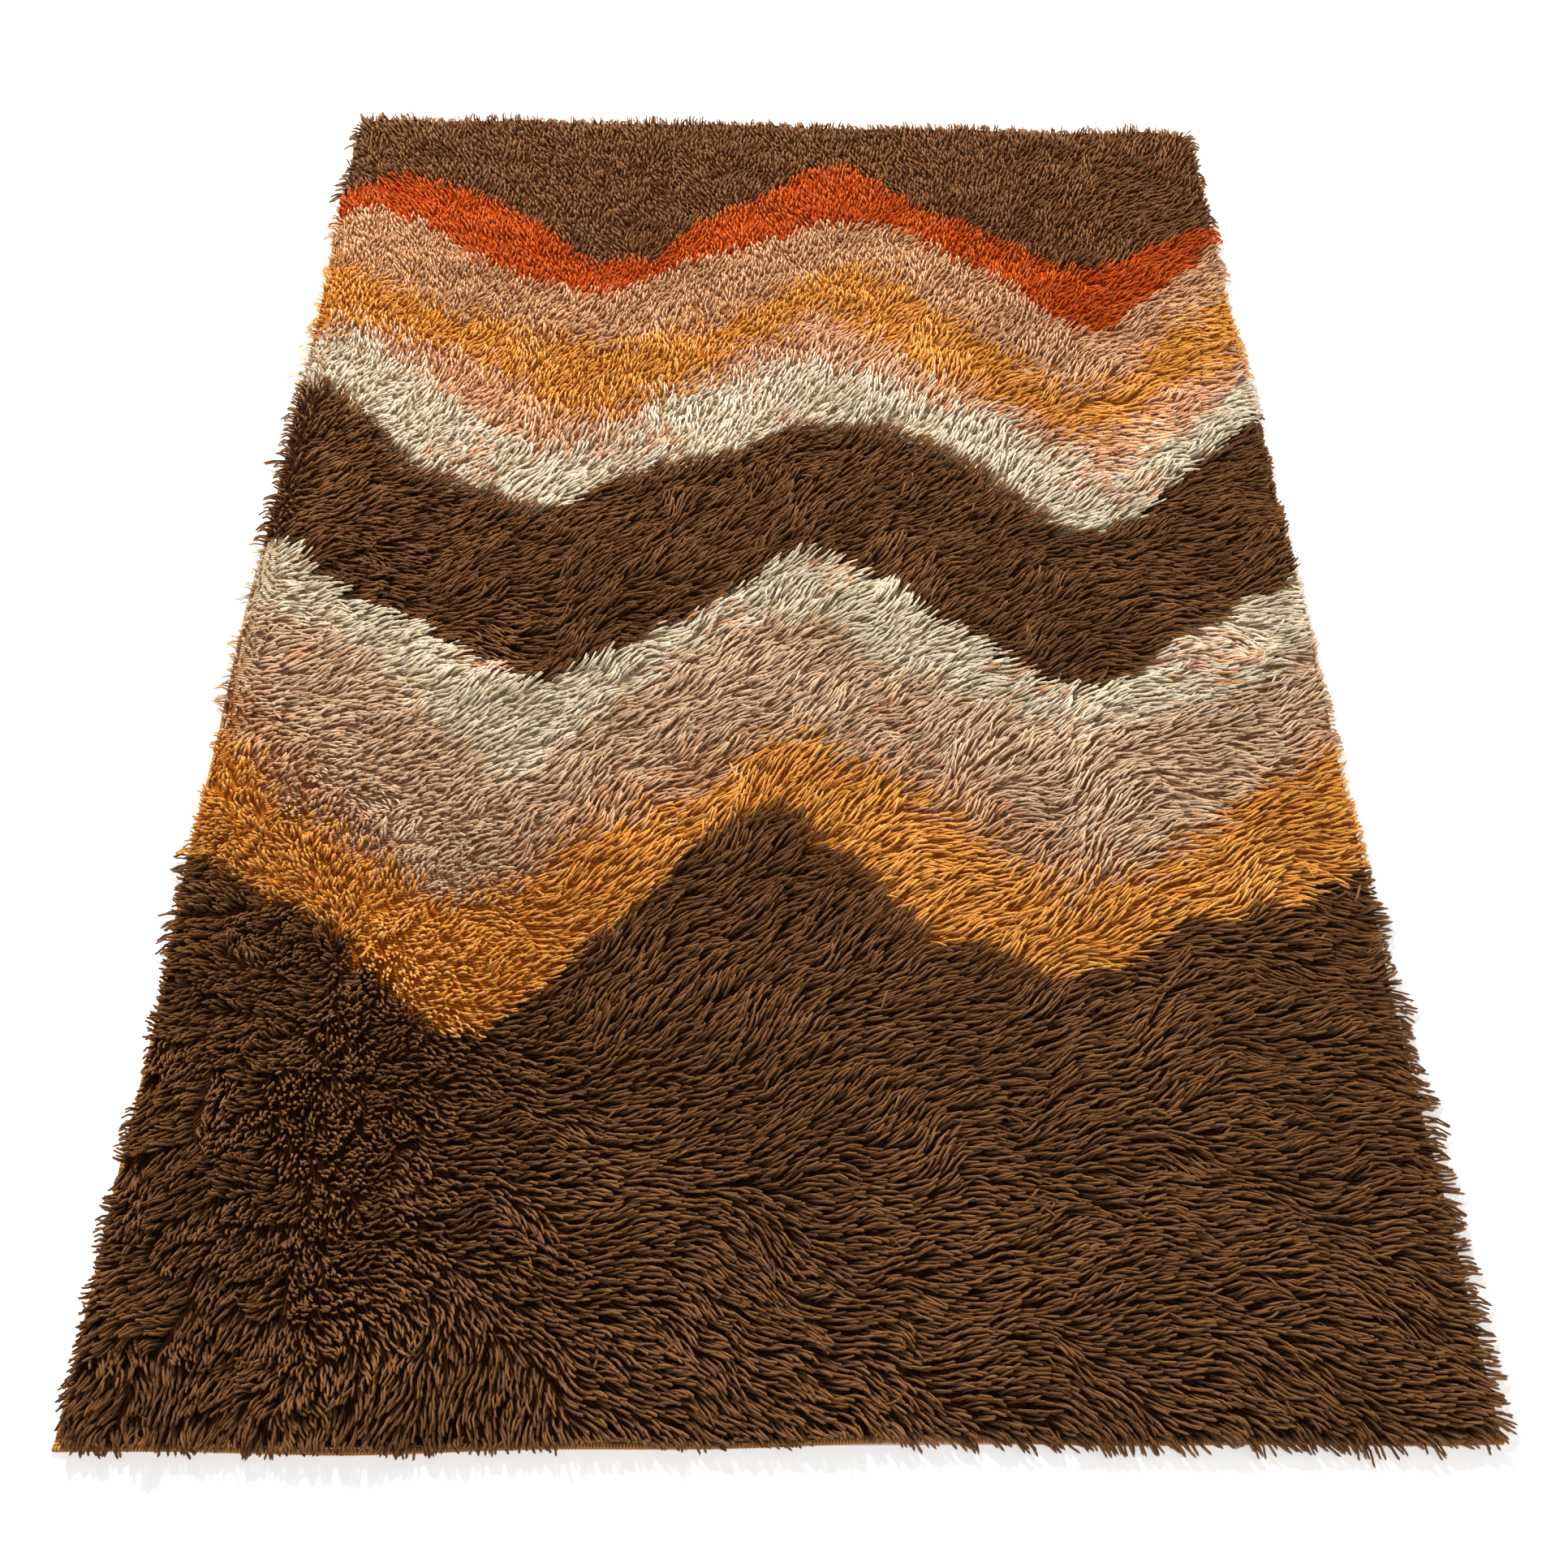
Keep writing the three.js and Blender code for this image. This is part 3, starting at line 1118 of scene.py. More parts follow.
class GeometryTree(NodeTree):
    """A Geometry Nodes tree with calls for its own kinds of node."""

    def __init__(self, name: str) -> None:
        """Starts an empty tree with a geometry input and output."""
        super().__init__(name, "GeometryNodeTree")
        self.geometry = self.takes("Geometry", "NodeSocketGeometry")

    def attribute(self, name: str, kind: str) -> Socket:
        """Reads a named attribute of the geometry.

        Args:
            name: The attribute's name.
            kind: Its data type.

        Returns:
            Its value at each element.
        """
        made = self.node("GeometryNodeInputNamedAttribute", data_type=kind)
        made.inputs["Name"].default_value = name
        return made.outputs["Attribute"]

    def store(self, geometry: Socket, name: str, kind: str, domain: str, value: object) -> Socket:
        """Stores a value as a named attribute.

        Args:
            geometry: The geometry to store it on.
            name: The attribute's name.
            kind: Its data type.
            domain: The domain it lives on.
            value: A socket or plain value.

        Returns:
            The geometry with the attribute.
        """
        made = self.node("GeometryNodeStoreNamedAttribute", data_type=kind, domain=domain)
        self.feed(made, Geometry=geometry, Name=name, Value=value)
        return made.outputs["Geometry"]

    def random(self, low: object, high: object, seed: object) -> Socket:
        """Draws a number for each element.

        Args:
            low: The least number.
            high: The greatest number.
            seed: Seed of the draws.

        Returns:
            The numbers.
        """
        made = self.node("FunctionNodeRandomValue", data_type="FLOAT")
        numbers = [s for s in made.inputs if s.type == "VALUE"]
        self.plug(numbers[0], low)
        self.plug(numbers[1], high)
        self.plug(made.inputs["Seed"], seed)
        return next(s for s in made.outputs if s.type == "VALUE")

    def finish(self, geometry: Socket, material: Socket) -> None:
        """Ends the tree with smooth shading, its instances realized and its material set.

        Args:
            geometry: What the tree has made.
            material: The material to set.
        """
        smooth_shade = self.feed(self.node("GeometryNodeSetShadeSmooth"), Geometry=geometry)
        realized = self.feed(
            self.node("GeometryNodeRealizeInstances"), Geometry=smooth_shade.outputs["Geometry"]
        )
        dressed = self.feed(
            self.node("GeometryNodeSetMaterial"),
            Geometry=realized.outputs["Geometry"],
            Material=material,
        )
        self.gives("Geometry", "NodeSocketGeometry", dressed.outputs["Geometry"])


def run_tree(seedling: bpy.types.Object, tree: GeometryTree, values: dict[str, object]) -> None:
    """Runs a Geometry Nodes tree on an object and keeps the result as its plain mesh.

    Args:
        seedling: The object that the tree starts from, left with no modifier.
        tree: The tree.
        values: The tree's inputs by name.
    """
    modifier = seedling.modifiers.new(tree.group.name, "NODES")
    modifier.node_group = tree.group
    for item in tree.group.interface.items_tree:
        if item.item_type == "SOCKET" and item.in_out == "INPUT" and item.name in values:
            modifier[item.identifier] = values[item.name]
    graph = bpy.context.evaluated_depsgraph_get()
    made = bpy.data.meshes.new_from_object(
        seedling.evaluated_get(graph), preserve_all_data_layers=True, depsgraph=graph
    )
    seedling.modifiers.remove(modifier)
    made.name = seedling.name
    seedling.data = made


def mesh_object(name: str, points: Array, edges: list, faces: list) -> bpy.types.Object:
    """Makes a mesh object at the origin and links it into the scene.

    Args:
        name: The piece's name.
        points: Its vertices, one row each.
        edges: Its loose edges.
        faces: Its faces.

    Returns:
        The new object.
    """
    mesh = bpy.data.meshes.new(name)
    mesh.from_pydata([tuple(p) for p in points], edges, faces)
    mesh.update()
    made = bpy.data.objects.new(name, mesh)
    bpy.context.scene.collection.objects.link(made)
    return made


def grid_faces(across: int, along: int) -> list[tuple[int, ...]]:
    """The faces of a grid.

    Args:
        across: How many cells the grid is wide.
        along: How many cells it is long.

    Returns:
        Four corners for each face, with the grid's points numbered row by row.
    """
    columns = across + 1
    corners = [row * columns + column for row in range(along) for column in range(across)]
    return [(a, a + 1, a + columns + 1, a + columns) for a in corners]


def add_attribute(piece: bpy.types.Object, name: str, kind: str, values: Array) -> None:
    """Adds a point attribute to a piece's mesh.

    Args:
        piece: The piece.
        name: The attribute's name.
        kind: Its data type.
        values: One value or row for each vertex.
    """
    attribute = piece.data.attributes.new(name, kind, "POINT")
    key = {"FLOAT_VECTOR": "vector", "FLOAT_COLOR": "color", "FLOAT": "value"}[kind]
    attribute.data.foreach_set(key, np.ascontiguousarray(values, np.float32).ravel())


class Materials:
    """The shader node groups and the materials made from them."""

    specular: float = 0.2
    sheen_roughness: float = 0.45
    relief: float = 0.6
    ply_depth: float = 0.4 * MM
    # Where along a yarn the painted shade at its root starts to lift, and where it reaches the dyed
    # colour.
    lit_from: float = 0.05
    lit_to: float = 0.78
    hues: float = 7.0
    warm_by_tone: float = 0.5
    warm_by_hue: float = 0.5
    weave_depth: float = 0.8 * MM
    weave_noise: float = 220.0
    weave_crests: float = 0.7
    foot_depth: float = 3 * MM
    foot_yarn: float = 4 * MM
    foot_specular: float = 0.05
    # How the foot's relief mixes its painted shade colour into its lit colour.
    foot_deep_to: float = 0.1
    foot_lit_share: float = 0.75
    ridge_sharpness: float = 0.7
    tuft_slope: float = 0.9
    tuft_middle: float = 0.55
    floor_white: Colour = (0.93, 0.93, 0.93)

    def __init__(self) -> None:
        """Builds the shared groups."""
        self.yarn_group = self.build_yarn_group()
        self.weave_group = self.build_weave_group()
        self.packed_group = self.build_packed_group()

    def build_yarn_group(self) -> bpy.types.NodeTree:
        """Spun wool: colour by each yarn's own tone, with painted shade that darkens it towards its
        root, and the twist as height.

        Returns:
            The group, with Color and Height outputs.
        """
        tree = NodeTree("spun_wool", "ShaderNodeTree")
        lit = tree.takes("Lit", "NodeSocketColor")
        warm = tree.takes("Warm", "NodeSocketColor")
        deep = tree.takes("Deep", "NodeSocketColor")
        spread = tree.takes("Spread", "NodeSocketFloat")
        twists = tree.takes("Twists", "NodeSocketFloat")
        tone = tree.node("ShaderNodeAttribute", attribute_name="tone").outputs["Fac"]
        along = tree.node("ShaderNodeAttribute", attribute_name="along").outputs["Fac"]
        own_hue = tree.math("FRACT", tree.math("MULTIPLY", tone, self.hues))
        by_tone = tree.math("SUBTRACT", 1.0, tree.math("MULTIPLY", tone, self.warm_by_tone))
        hue = tree.math("MULTIPLY_ADD", own_hue, -self.warm_by_hue, by_tone)
        dyed = self.mix(tree, hue, lit, warm)
        # Painted shade: each yarn goes from the painted shade colour at its root to its dyed colour
        # up its length.
        ramp = tree.node("ShaderNodeMapRange", interpolation_type="SMOOTHSTEP")
        tree.feed(ramp, Value=along, From_Min=self.lit_from, From_Max=self.lit_to)
        shaded = self.mix(tree, ramp.outputs["Result"], deep, dyed)
        gain = tree.math("MULTIPLY_ADD", tree.math("SUBTRACT", tone, 0.5), spread, 1.0)
        bright = tree.node("ShaderNodeMix", data_type="RGBA", blend_type="MULTIPLY")
        tree.plug(bright.inputs["Factor"], 1.0)
        tree.plug(self.colour_input(bright, "A"), shaded)
        tree.plug(self.colour_input(bright, "B"), tree.together(gain, gain, gain))
        around = tree.parts(tree.node("ShaderNodeUVMap", uv_map="yarn_uv").outputs["UV"])[0]
        ply = tree.math("MULTIPLY", tree.math("MULTIPLY_ADD", along, twists, around), TURN)
        height = tree.math("ABSOLUTE", tree.math("SINE", ply))
        tree.gives("Color", "NodeSocketColor", self.colour_output(bright))
        tree.gives("Height", "NodeSocketFloat", height)
        return tree.group

    def build_weave_group(self) -> bpy.types.NodeTree:
        """Plain weave: crossing yarns over and under each other in the row frame, with painted
        shade in the hollows between them.

        Returns:
            The group, with Color and Height outputs.
        """
        tree = NodeTree("plain_weave", "ShaderNodeTree")
        light = tree.takes("Light", "NodeSocketColor")
        dark = tree.takes("Dark", "NodeSocketColor")
        pitch = tree.takes("Pitch", "NodeSocketFloat")
        where = tree.node("ShaderNodeTexCoord").outputs["Object"]
        x, y, _ = tree.parts(where)
        warp = tree.math("SINE", tree.math("DIVIDE", tree.math("MULTIPLY", x, math.pi), pitch))
        weft = tree.math("SINE", tree.math("DIVIDE", tree.math("MULTIPLY", y, math.pi), pitch))
        crossing = tree.math("MULTIPLY", warp, weft)
        height = tree.math("ABSOLUTE", crossing)
        noise = tree.node("ShaderNodeTexNoise")
        tree.feed(noise, Vector=where, Scale=self.weave_noise, Detail=3.0)
        # Painted shade: the crossings' crests are lighter and the hollows between them darker.
        crests = tree.math("MULTIPLY", height, self.weave_crests)
        grey = tree.math("MULTIPLY_ADD", noise.outputs["Fac"], 0.5, crests)
        tree.gives("Color", "NodeSocketColor", self.mix(tree, grey, dark, light))
        tree.gives("Height", "NodeSocketFloat", height)
        return tree.group

    @staticmethod
    def colour_input(mix: bpy.types.Node, name: str) -> Socket:
        """The colour input A or B of a Mix node."""
        return next(s for s in mix.inputs if s.name == name and s.type == "RGBA")

    @staticmethod
    def colour_output(mix: bpy.types.Node) -> Socket:
        """The colour output of a Mix node."""
        return next(s for s in mix.outputs if s.type == "RGBA")

    def mix(self, tree: NodeTree, share: object, first: object, second: object) -> Socket:
        """Mixes two colours.

        Args:
            tree: The tree to add the node to.
            share: How much of the second.
            first: The first colour.
            second: The second colour.

        Returns:
            The mixed colour.
        """
        made = tree.node("ShaderNodeMix", data_type="RGBA")
        made.clamp_factor = True
        tree.plug(next(s for s in made.inputs if s.name == "Factor" and s.type == "VALUE"), share)
        tree.plug(self.colour_input(made, "A"), first)
        tree.plug(self.colour_input(made, "B"), second)
        return self.colour_output(made)

    def blank(
        self, name: str, roughness: float, sheen: float, fuzz: Colour = (1.0, 1.0, 1.0)
    ) -> tuple[bpy.types.Material, bpy.types.Node]:
        """Makes a matte material with a sheen, as cloth has.

        Args:
            name: The material's name.
            roughness: Its roughness.
            sheen: Weight of its sheen.
            fuzz: Colour of its sheen.

        Returns:
            The material and its Principled node.
        """
        material = bpy.data.materials.new(name)
        material.use_nodes = True
        shader = material.node_tree.nodes["Principled BSDF"]
        shader.inputs["Roughness"].default_value = roughness
        shader.inputs["Sheen Weight"].default_value = sheen
        shader.inputs["Sheen Roughness"].default_value = self.sheen_roughness
        shader.inputs["Sheen Tint"].default_value = (*fuzz, 1)
        shader.inputs["Specular IOR Level"].default_value = self.specular
        return material, shader

    def place_group(
        self,
        material: bpy.types.Material,
        shader: bpy.types.Node,
        group: bpy.types.NodeTree,
        depth: float,
    ) -> bpy.types.Node:
        """Puts a shared group in a material and joins its colour and height to the shader.

        Args:
            material: The material.
            shader: Its Principled node.
            group: The shared group.
            depth: Depth of the relief, in metres.

        Returns:
            The group's node.
        """
        nodes, links = material.node_tree.nodes, material.node_tree.links
        placed = nodes.new("ShaderNodeGroup")
        placed.node_tree = group
        bump = nodes.new("ShaderNodeBump")
        bump.inputs["Distance"].default_value = depth
        bump.inputs["Strength"].default_value = self.relief
        links.new(placed.outputs["Color"], shader.inputs["Base Color"])
        links.new(placed.outputs["Height"], bump.inputs["Height"])
        links.new(bump.outputs["Normal"], shader.inputs["Normal"])
        return placed

    def yarn(self, finish: YarnFinish, twists: float = 7.0) -> bpy.types.Material:
        """The material of one dyed wool.

        Args:
            finish: The wool.
            twists: Turns of the ply along a yarn.

        Returns:
            The material.
        """
        material, shader = self.blank(finish.name, finish.roughness, finish.sheen, finish.fuzz)
        placed = self.place_group(material, shader, self.yarn_group, self.ply_depth)
        placed.inputs["Lit"].default_value = (*finish.lit, 1)
        placed.inputs["Warm"].default_value = (*finish.warm, 1)
        placed.inputs["Deep"].default_value = (*finish.deep, 1)
        placed.inputs["Spread"].default_value = finish.spread
        placed.inputs["Twists"].default_value = twists
        return material

    def weave(self, name: str, light: Colour, dark: Colour, pitch: float) -> bpy.types.Material:
        """The material of a plain-woven cloth.

        Args:
            name: The material's name.
            light: Colour of the yarns' crests.
            dark: Colour of the hollows between them, a painted shade.
            pitch: Distance from yarn to yarn.

        Returns:
            The material.
        """
        material, shader = self.blank(name, roughness=0.9, sheen=0.2)
        placed = self.place_group(material, shader, self.weave_group, self.weave_depth)
        placed.inputs["Light"].default_value = (*light, 1)
        placed.inputs["Dark"].default_value = (*dark, 1)
        placed.inputs["Pitch"].default_value = pitch
        return material

    def build_packed_group(self) -> bpy.types.NodeTree:
        """Yarns packed side by side in tufts, each tuft lying along the nap.

        Returns:
            The group, with a Height output from 0 between the yarns to 1 on their crests.
        """
        tree = NodeTree("packed_yarns", "ShaderNodeTree")
        tuft = tree.takes("Tuft Size", "NodeSocketFloat")
        width = tree.takes("Yarn Width", "NodeSocketFloat")
        where = tree.node("ShaderNodeTexCoord").outputs["Object"]
        cells = tree.node("ShaderNodeTexVoronoi", voronoi_dimensions="2D", feature="F1")
        tree.feed(cells, Vector=where, Scale=tree.math("DIVIDE", 1.0, tuft))
        local = tree.vector("SUBTRACT", where, cells.outputs["Position"])
        x, y, _ = tree.parts(local)
        nap = tree.node("ShaderNodeAttribute", attribute_name="nap").outputs["Vector"]
        nap_x, nap_y, _ = tree.parts(tree.vector("NORMALIZE", nap))
        left, right = tree.math("MULTIPLY", y, nap_x), tree.math("MULTIPLY", x, nap_y)
        aside = tree.math("SUBTRACT", left, right)
        onward = tree.math("MULTIPLY_ADD", x, nap_x, tree.math("MULTIPLY", y, nap_y))
        wave = tree.math("MULTIPLY", tree.math("DIVIDE", aside, width), math.pi)
        ridge = tree.math("ABSOLUTE", tree.math("SINE", wave))
        from_middle = tree.math("DIVIDE", onward, tuft)
        slope = tree.math("MULTIPLY_ADD", from_middle, self.tuft_slope, self.tuft_middle)
        height = tree.math("MULTIPLY", tree.math("POWER", ridge, self.ridge_sharpness), slope)
        tree.gives("Height", "NodeSocketFloat", height)
        return tree.group

    def pile_foot(self, tuft_size: float) -> bpy.types.Material:
        """The lower yarns of the pile, seen between the upper ones, with painted shade in the
        hollows between its packed yarns and at the back of each tuft.

        Args:
            tuft_size: Mean width of a tuft.

        Returns:
            The material.
        """
        material, shader = self.blank("pile_foot", roughness=0.95, sheen=0.0)
        shader.inputs["Specular IOR Level"].default_value = self.foot_specular
        nodes, links = material.node_tree.nodes, material.node_tree.links
        deep = nodes.new("ShaderNodeAttribute")
        deep.attribute_name = "foot_painted_shade"
        lit = nodes.new("ShaderNodeAttribute")
        lit.attribute_name = "foot_lit"
        packed = nodes.new("ShaderNodeGroup")
        packed.node_tree = self.packed_group
        packed.inputs["Tuft Size"].default_value = tuft_size
        packed.inputs["Yarn Width"].default_value = self.foot_yarn
        # Painted shade: the relief's height mixes the colour too, from the painted shade colour in
        # the hollows to the lit colour on the crests.
        shade = nodes.new("ShaderNodeMapRange")
        shade.inputs["From Min"].default_value = self.foot_deep_to
        shade.inputs["To Max"].default_value = self.foot_lit_share
        mixed = nodes.new("ShaderNodeMix")
        mixed.data_type = "RGBA"
        bump = nodes.new("ShaderNodeBump")
        bump.inputs["Distance"].default_value = self.foot_depth
        links.new(packed.outputs["Height"], shade.inputs["Value"])
        links.new(shade.outputs["Result"], mixed.inputs["Factor"])
        links.new(deep.outputs["Color"], self.colour_input(mixed, "A"))
        links.new(lit.outputs["Color"], self.colour_input(mixed, "B"))
        links.new(self.colour_output(mixed), shader.inputs["Base Color"])
        links.new(packed.outputs["Height"], bump.inputs["Height"])
        links.new(bump.outputs["Normal"], shader.inputs["Normal"])
        return material

    def floor(self, name: str, glow: float) -> bpy.types.Material:
        """White studio floor, lit a little from below as on a light table, so shadows stay pale.

        Args:
            name: The material's name.
            glow: How strongly it is lit from below.

        Returns:
            The material.
        """
        material, shader = self.blank(name, roughness=0.8, sheen=0.0)
        shader.inputs["Base Color"].default_value = (*self.floor_white, 1)
        shader.inputs["Emission Color"].default_value = (1.0, 1.0, 1.0, 1)
        shader.inputs["Emission Strength"].default_value = glow
        return material


@dataclass
class Pile:
    """The shag pile: its dense foot and, on it, the cut yarns in one piece for each wool, the brown
    in four.
    """

    outline: Outline
    knotting: Knotting
    materials: Materials
    yarn_radius: float = 2.08 * MM
    fullness: tuple[float, float] = (0.84, 1.14)
    taper: float = 0.14
    bends: int = 4
    bend_place: float = 0.36
    tip_curve: float = 1.3
    sway: float = 2.6 * MM
    sway_turn: float = 4.6
    map_margin: float = 0.1
    map_end: float = 0.01
    foot_cell: float = 22 * MM
    near_line: float = -0.30
    far_line: float = 0.55
    seed: int = 31

    def build_tree(self) -> GeometryTree:
        """Yarns grown from points: each leans along its own arc, sways, and ends in a blunt tip.

        Returns:
            The tree, with Material, Yarn Radius, Sway and Seed inputs.
        """
        tree = GeometryTree("cut_yarns")
        material = tree.takes("Material", "NodeSocketMaterial")
        radius = tree.takes("Yarn Radius", "NodeSocketFloat", self.yarn_radius)
        sway = tree.takes("Sway", "NodeSocketFloat", self.sway)
        seed = tree.takes("Seed", "NodeSocketInt", self.seed)

        blank = tree.node("GeometryNodeMeshUVSphere")
        tree.feed(blank, Segments=3, Rings=self.bends, Radius=1.0)
        position = tree.node("GeometryNodeInputPosition").outputs[0]
        shape = tree.store(blank.outputs["Mesh"], "blank", "FLOAT_VECTOR", "POINT", position)
        shape = tree.store(shape, "yarn_uv", "FLOAT2", "CORNER", blank.outputs["UV Map"])

        fullness = tree.random(*self.fullness, tree.math("ADD", seed, 2.0))
        points = tree.store(tree.geometry, "fullness", "FLOAT", "POINT", fullness)

        planted = tree.node("GeometryNodeInstanceOnPoints")
        tree.feed(planted, Points=points, Instance=shape)
        grown = tree.feed(
            tree.node("GeometryNodeRealizeInstances"), Geometry=planted.outputs["Instances"]
        )
        local = tree.attribute("blank", "FLOAT_VECTOR")
        share = tree.math("MULTIPLY_ADD", tree.parts(local)[2], 0.5, 0.5)
        rest = tree.math("POWER", tree.math("SUBTRACT", 1.0, share), self.tip_curve)
        along = tree.math("SUBTRACT", 1.0, rest)
        place = self.bent_place(tree, local, along, radius, sway)
        moved = tree.node("GeometryNodeSetPosition")
        tree.feed(moved, Geometry=grown.outputs["Geometry"], Position=place)
        shaped = tree.store(moved.outputs["Geometry"], "along", "FLOAT", "POINT", along)

        mapped = tree.store(shaped, "OFBake", "FLOAT2", "CORNER", self.bake_place(tree, along))
        for spent in ("blank", "phase", "fullness", "lean", "rise"):
            removal = tree.node("GeometryNodeRemoveAttribute")
            tree.feed(removal, Geometry=mapped, Name=spent)
            mapped = removal.outputs["Geometry"]
        tree.finish(mapped, material)
        return tree

    def bake_place(self, tree: GeometryTree, along: Socket) -> Socket:
        """A place on the flat map for each face corner: a column for each tone, root to tip up it.

        Args:
            tree: The tree under construction.
            along: The corner's share along its yarn.

        Returns:
            The place, as a vector.
        """
        levels = float(self.knotting.tone_levels)
        around = tree.parts(tree.attribute("yarn_uv", "FLOAT_VECTOR"))[0]
        level = tree.math("FLOOR", tree.math("MULTIPLY", tree.attribute("tone", "FLOAT"), levels))
        start = tree.math("ADD", level, self.map_margin)
        column = tree.math("MULTIPLY_ADD", around, 1 - 2 * self.map_margin, start)
        up = tree.math("MULTIPLY_ADD", along, 1 - 2 * self.map_end, self.map_end)
        return tree.together(tree.math("DIVIDE", column, levels), up, 0.0)

    def bent_place(
        self,
        tree: GeometryTree,
        local: Socket,
        along: Socket,
        radius: Socket,
        sway: Socket,
    ) -> Socket:
        """Where a point of a straight blank goes on its leaning, swaying yarn.

        Args:
            tree: The tree under construction.
            local: The point's place on the blank.
            along: Its share along the yarn.
            radius: The yarn's radius.
            sway: How far the yarn strays sideways.

        Returns:
            The point's place.
        """
        position = tree.node("GeometryNodeInputPosition").outputs[0]
        root = tree.vector("SUBTRACT", position, local)
        lean_x, lean_y, lean_z = tree.parts(tree.attribute("lean", "FLOAT_VECTOR"))
        rise = tree.attribute("rise", "FLOAT")
        bend_x = tree.math("MULTIPLY", lean_x, self.bend_place)
        bend_y = tree.math("MULTIPLY", lean_y, self.bend_place)
        bend = tree.together(bend_x, bend_y, rise)
        tip = tree.together(lean_x, lean_y, lean_z)
        left_over = tree.math("SUBTRACT", 1.0, along)
        bend_weight = tree.math("MULTIPLY", tree.math("MULTIPLY", left_over, along), 2.0)
        tip_weight = tree.math("MULTIPLY", along, along)
        by_bend = tree.vector("SCALE", bend, bend_weight)
        by_tip = tree.vector("SCALE", tip, tip_weight)
        arc = tree.vector("ADD", by_bend, by_tip)
        from_root = tree.vector("SCALE", bend, left_over)
        from_bend = tree.vector("SCALE", tree.vector("SUBTRACT", tip, bend), along)
        tangent = tree.vector("NORMALIZE", tree.vector("ADD", from_root, from_bend))
        across = tree.together(lean_y, tree.math("MULTIPLY", lean_x, -1.0), 0.0)
        aside = tree.vector("NORMALIZE", across)
        crest = tree.vector("CROSS_PRODUCT", aside, tangent)

        swing = tree.math("MULTIPLY_ADD", along, self.sway_turn, tree.attribute("phase", "FLOAT"))
        stray = tree.math("MULTIPLY", tree.math("MULTIPLY", tree.math("SINE", swing), along), sway)
        local_x, local_y, _ = tree.parts(local)
        ring = tree.vector("NORMALIZE", tree.together(local_x, local_y, 0.0))
        ring_x, ring_y, _ = tree.parts(ring)
        thickness = tree.math("MULTIPLY", radius, tree.attribute("fullness", "FLOAT"))
        thinning = tree.math("MULTIPLY_ADD", along, -self.taper, 1.0)
        taper = tree.math("MULTIPLY", thickness, thinning)
        up = tree.vector("SCALE", crest, tree.math("MULTIPLY", ring_x, taper))
        out = tree.vector("SCALE", aside, tree.math("MULTIPLY_ADD", ring_y, taper, stray))
        return tree.vector("ADD", tree.vector("ADD", root, arc), tree.vector("ADD", up, out))

    def grow(
        self,
        name: str,
        knots: Knots,
        tree: GeometryTree,
        material: bpy.types.Material,
        seed: int,
    ) -> None:
        """Grows one piece of cut yarns.

        Args:
            name: The piece's name.
            knots: Its knots.
            tree: The tree that grows them.
            material: Their wool.
            seed: Seed of their thickness.
        """
        piece = mesh_object(name, knots.root, [], [])
        add_attribute(piece, "lean", "FLOAT_VECTOR", knots.lean)
        for part in ("rise", "phase", "tone"):
            add_attribute(piece, part, "FLOAT", getattr(knots, part))
        values = {
            "Material": material,
            "Yarn Radius": self.yarn_radius,
            "Sway": self.sway,
            "Seed": seed,
        }
        run_tree(piece, tree, values)
        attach(piece, "root")
        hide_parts("shag_pile")
        LOG.info("%s: %d yarns, %d faces", name, len(knots), len(piece.data.polygons))

    def foot_points(self, u: Array, v: Array, inset: float) -> tuple[Array, Array]:
        """Places on a level of the foot, on the straight-sided rug.

        Args:
            u: Shares across the level, from -1 to 1.
            v: Shares along the level, from -1 to 1.
            inset: How far in from the bound edge the level ends.

        Returns:
            Places across and along the rug.
        """
        half_x = self.outline.half_width - inset
        half_y = self.outline.half_length - inset
        return self.outline.rounded(u * half_x, v * half_y, inset)

    def build_foot(self) -> None:
        """Builds the dense foot of the pile, a lumpy closed slab between the yarns' roots."""
        outline = self.outline
        across = round(outline.width / self.foot_cell)
        along = round(outline.length / self.foot_cell)
        u, v = np.meshgrid(np.linspace(-1, 1, across + 1), np.linspace(-1, 1, along + 1))
        u, v = u.ravel(), v.ravel()
        x, y = self.foot_points(u, v, outline.inside_edge + self.knotting.foot_bevel)
        top = np.stack([*outline.wandered(x, y), self.knotting.foot_top(x, y)], axis=1)
        columns = across + 1
        rim = [*range(columns)]
        rim += [row * columns + across for row in range(1, along + 1)]
        rim += [along * columns + column for column in range(across - 1, -1, -1)]
        rim += [row * columns for row in range(along - 1, 0, -1)]
        base = outline.wandered(*self.foot_points(u[rim], v[rim], outline.inside_edge))
        base = np.stack([*base, np.full(len(rim), outline.pile_foot)], axis=1)
        below = [len(top) + k for k in range(len(rim))]
        faces = grid_faces(across, along)
        for k, a in enumerate(rim):
            after = (k + 1) % len(rim)
            faces.append((rim[after], a, below[k], below[after]))
        faces.append(tuple(reversed(below)))
        piece = mesh_object("pile_foot", np.concatenate([top, base]), [], faces)
        self.colour_foot(piece, x, y, rim)
        piece.data.shade_smooth()
        piece.data.materials.append(self.materials.pile_foot(self.knotting.tuft_size))
        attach(piece, "root")
        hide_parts("shag_pile")
        LOG.info("pile_foot: %d faces", len(piece.data.polygons))

    def colour_foot(self, piece: bpy.types.Object, x: Array, y: Array, rim: list[int]) -> None:
        """Gives the foot the colours and the nap of the yarns that stand on it, with its painted
        shade.

        Args:
            piece: The foot.
            x: Places of its top's points across the rug.
            y: Places of its top's points along the rug.
            rim: The points of its top that have another below them.
        """
        still = np.zeros_like(x)
        wool = self.knotting.design.wools(x, y, still, still + 1)
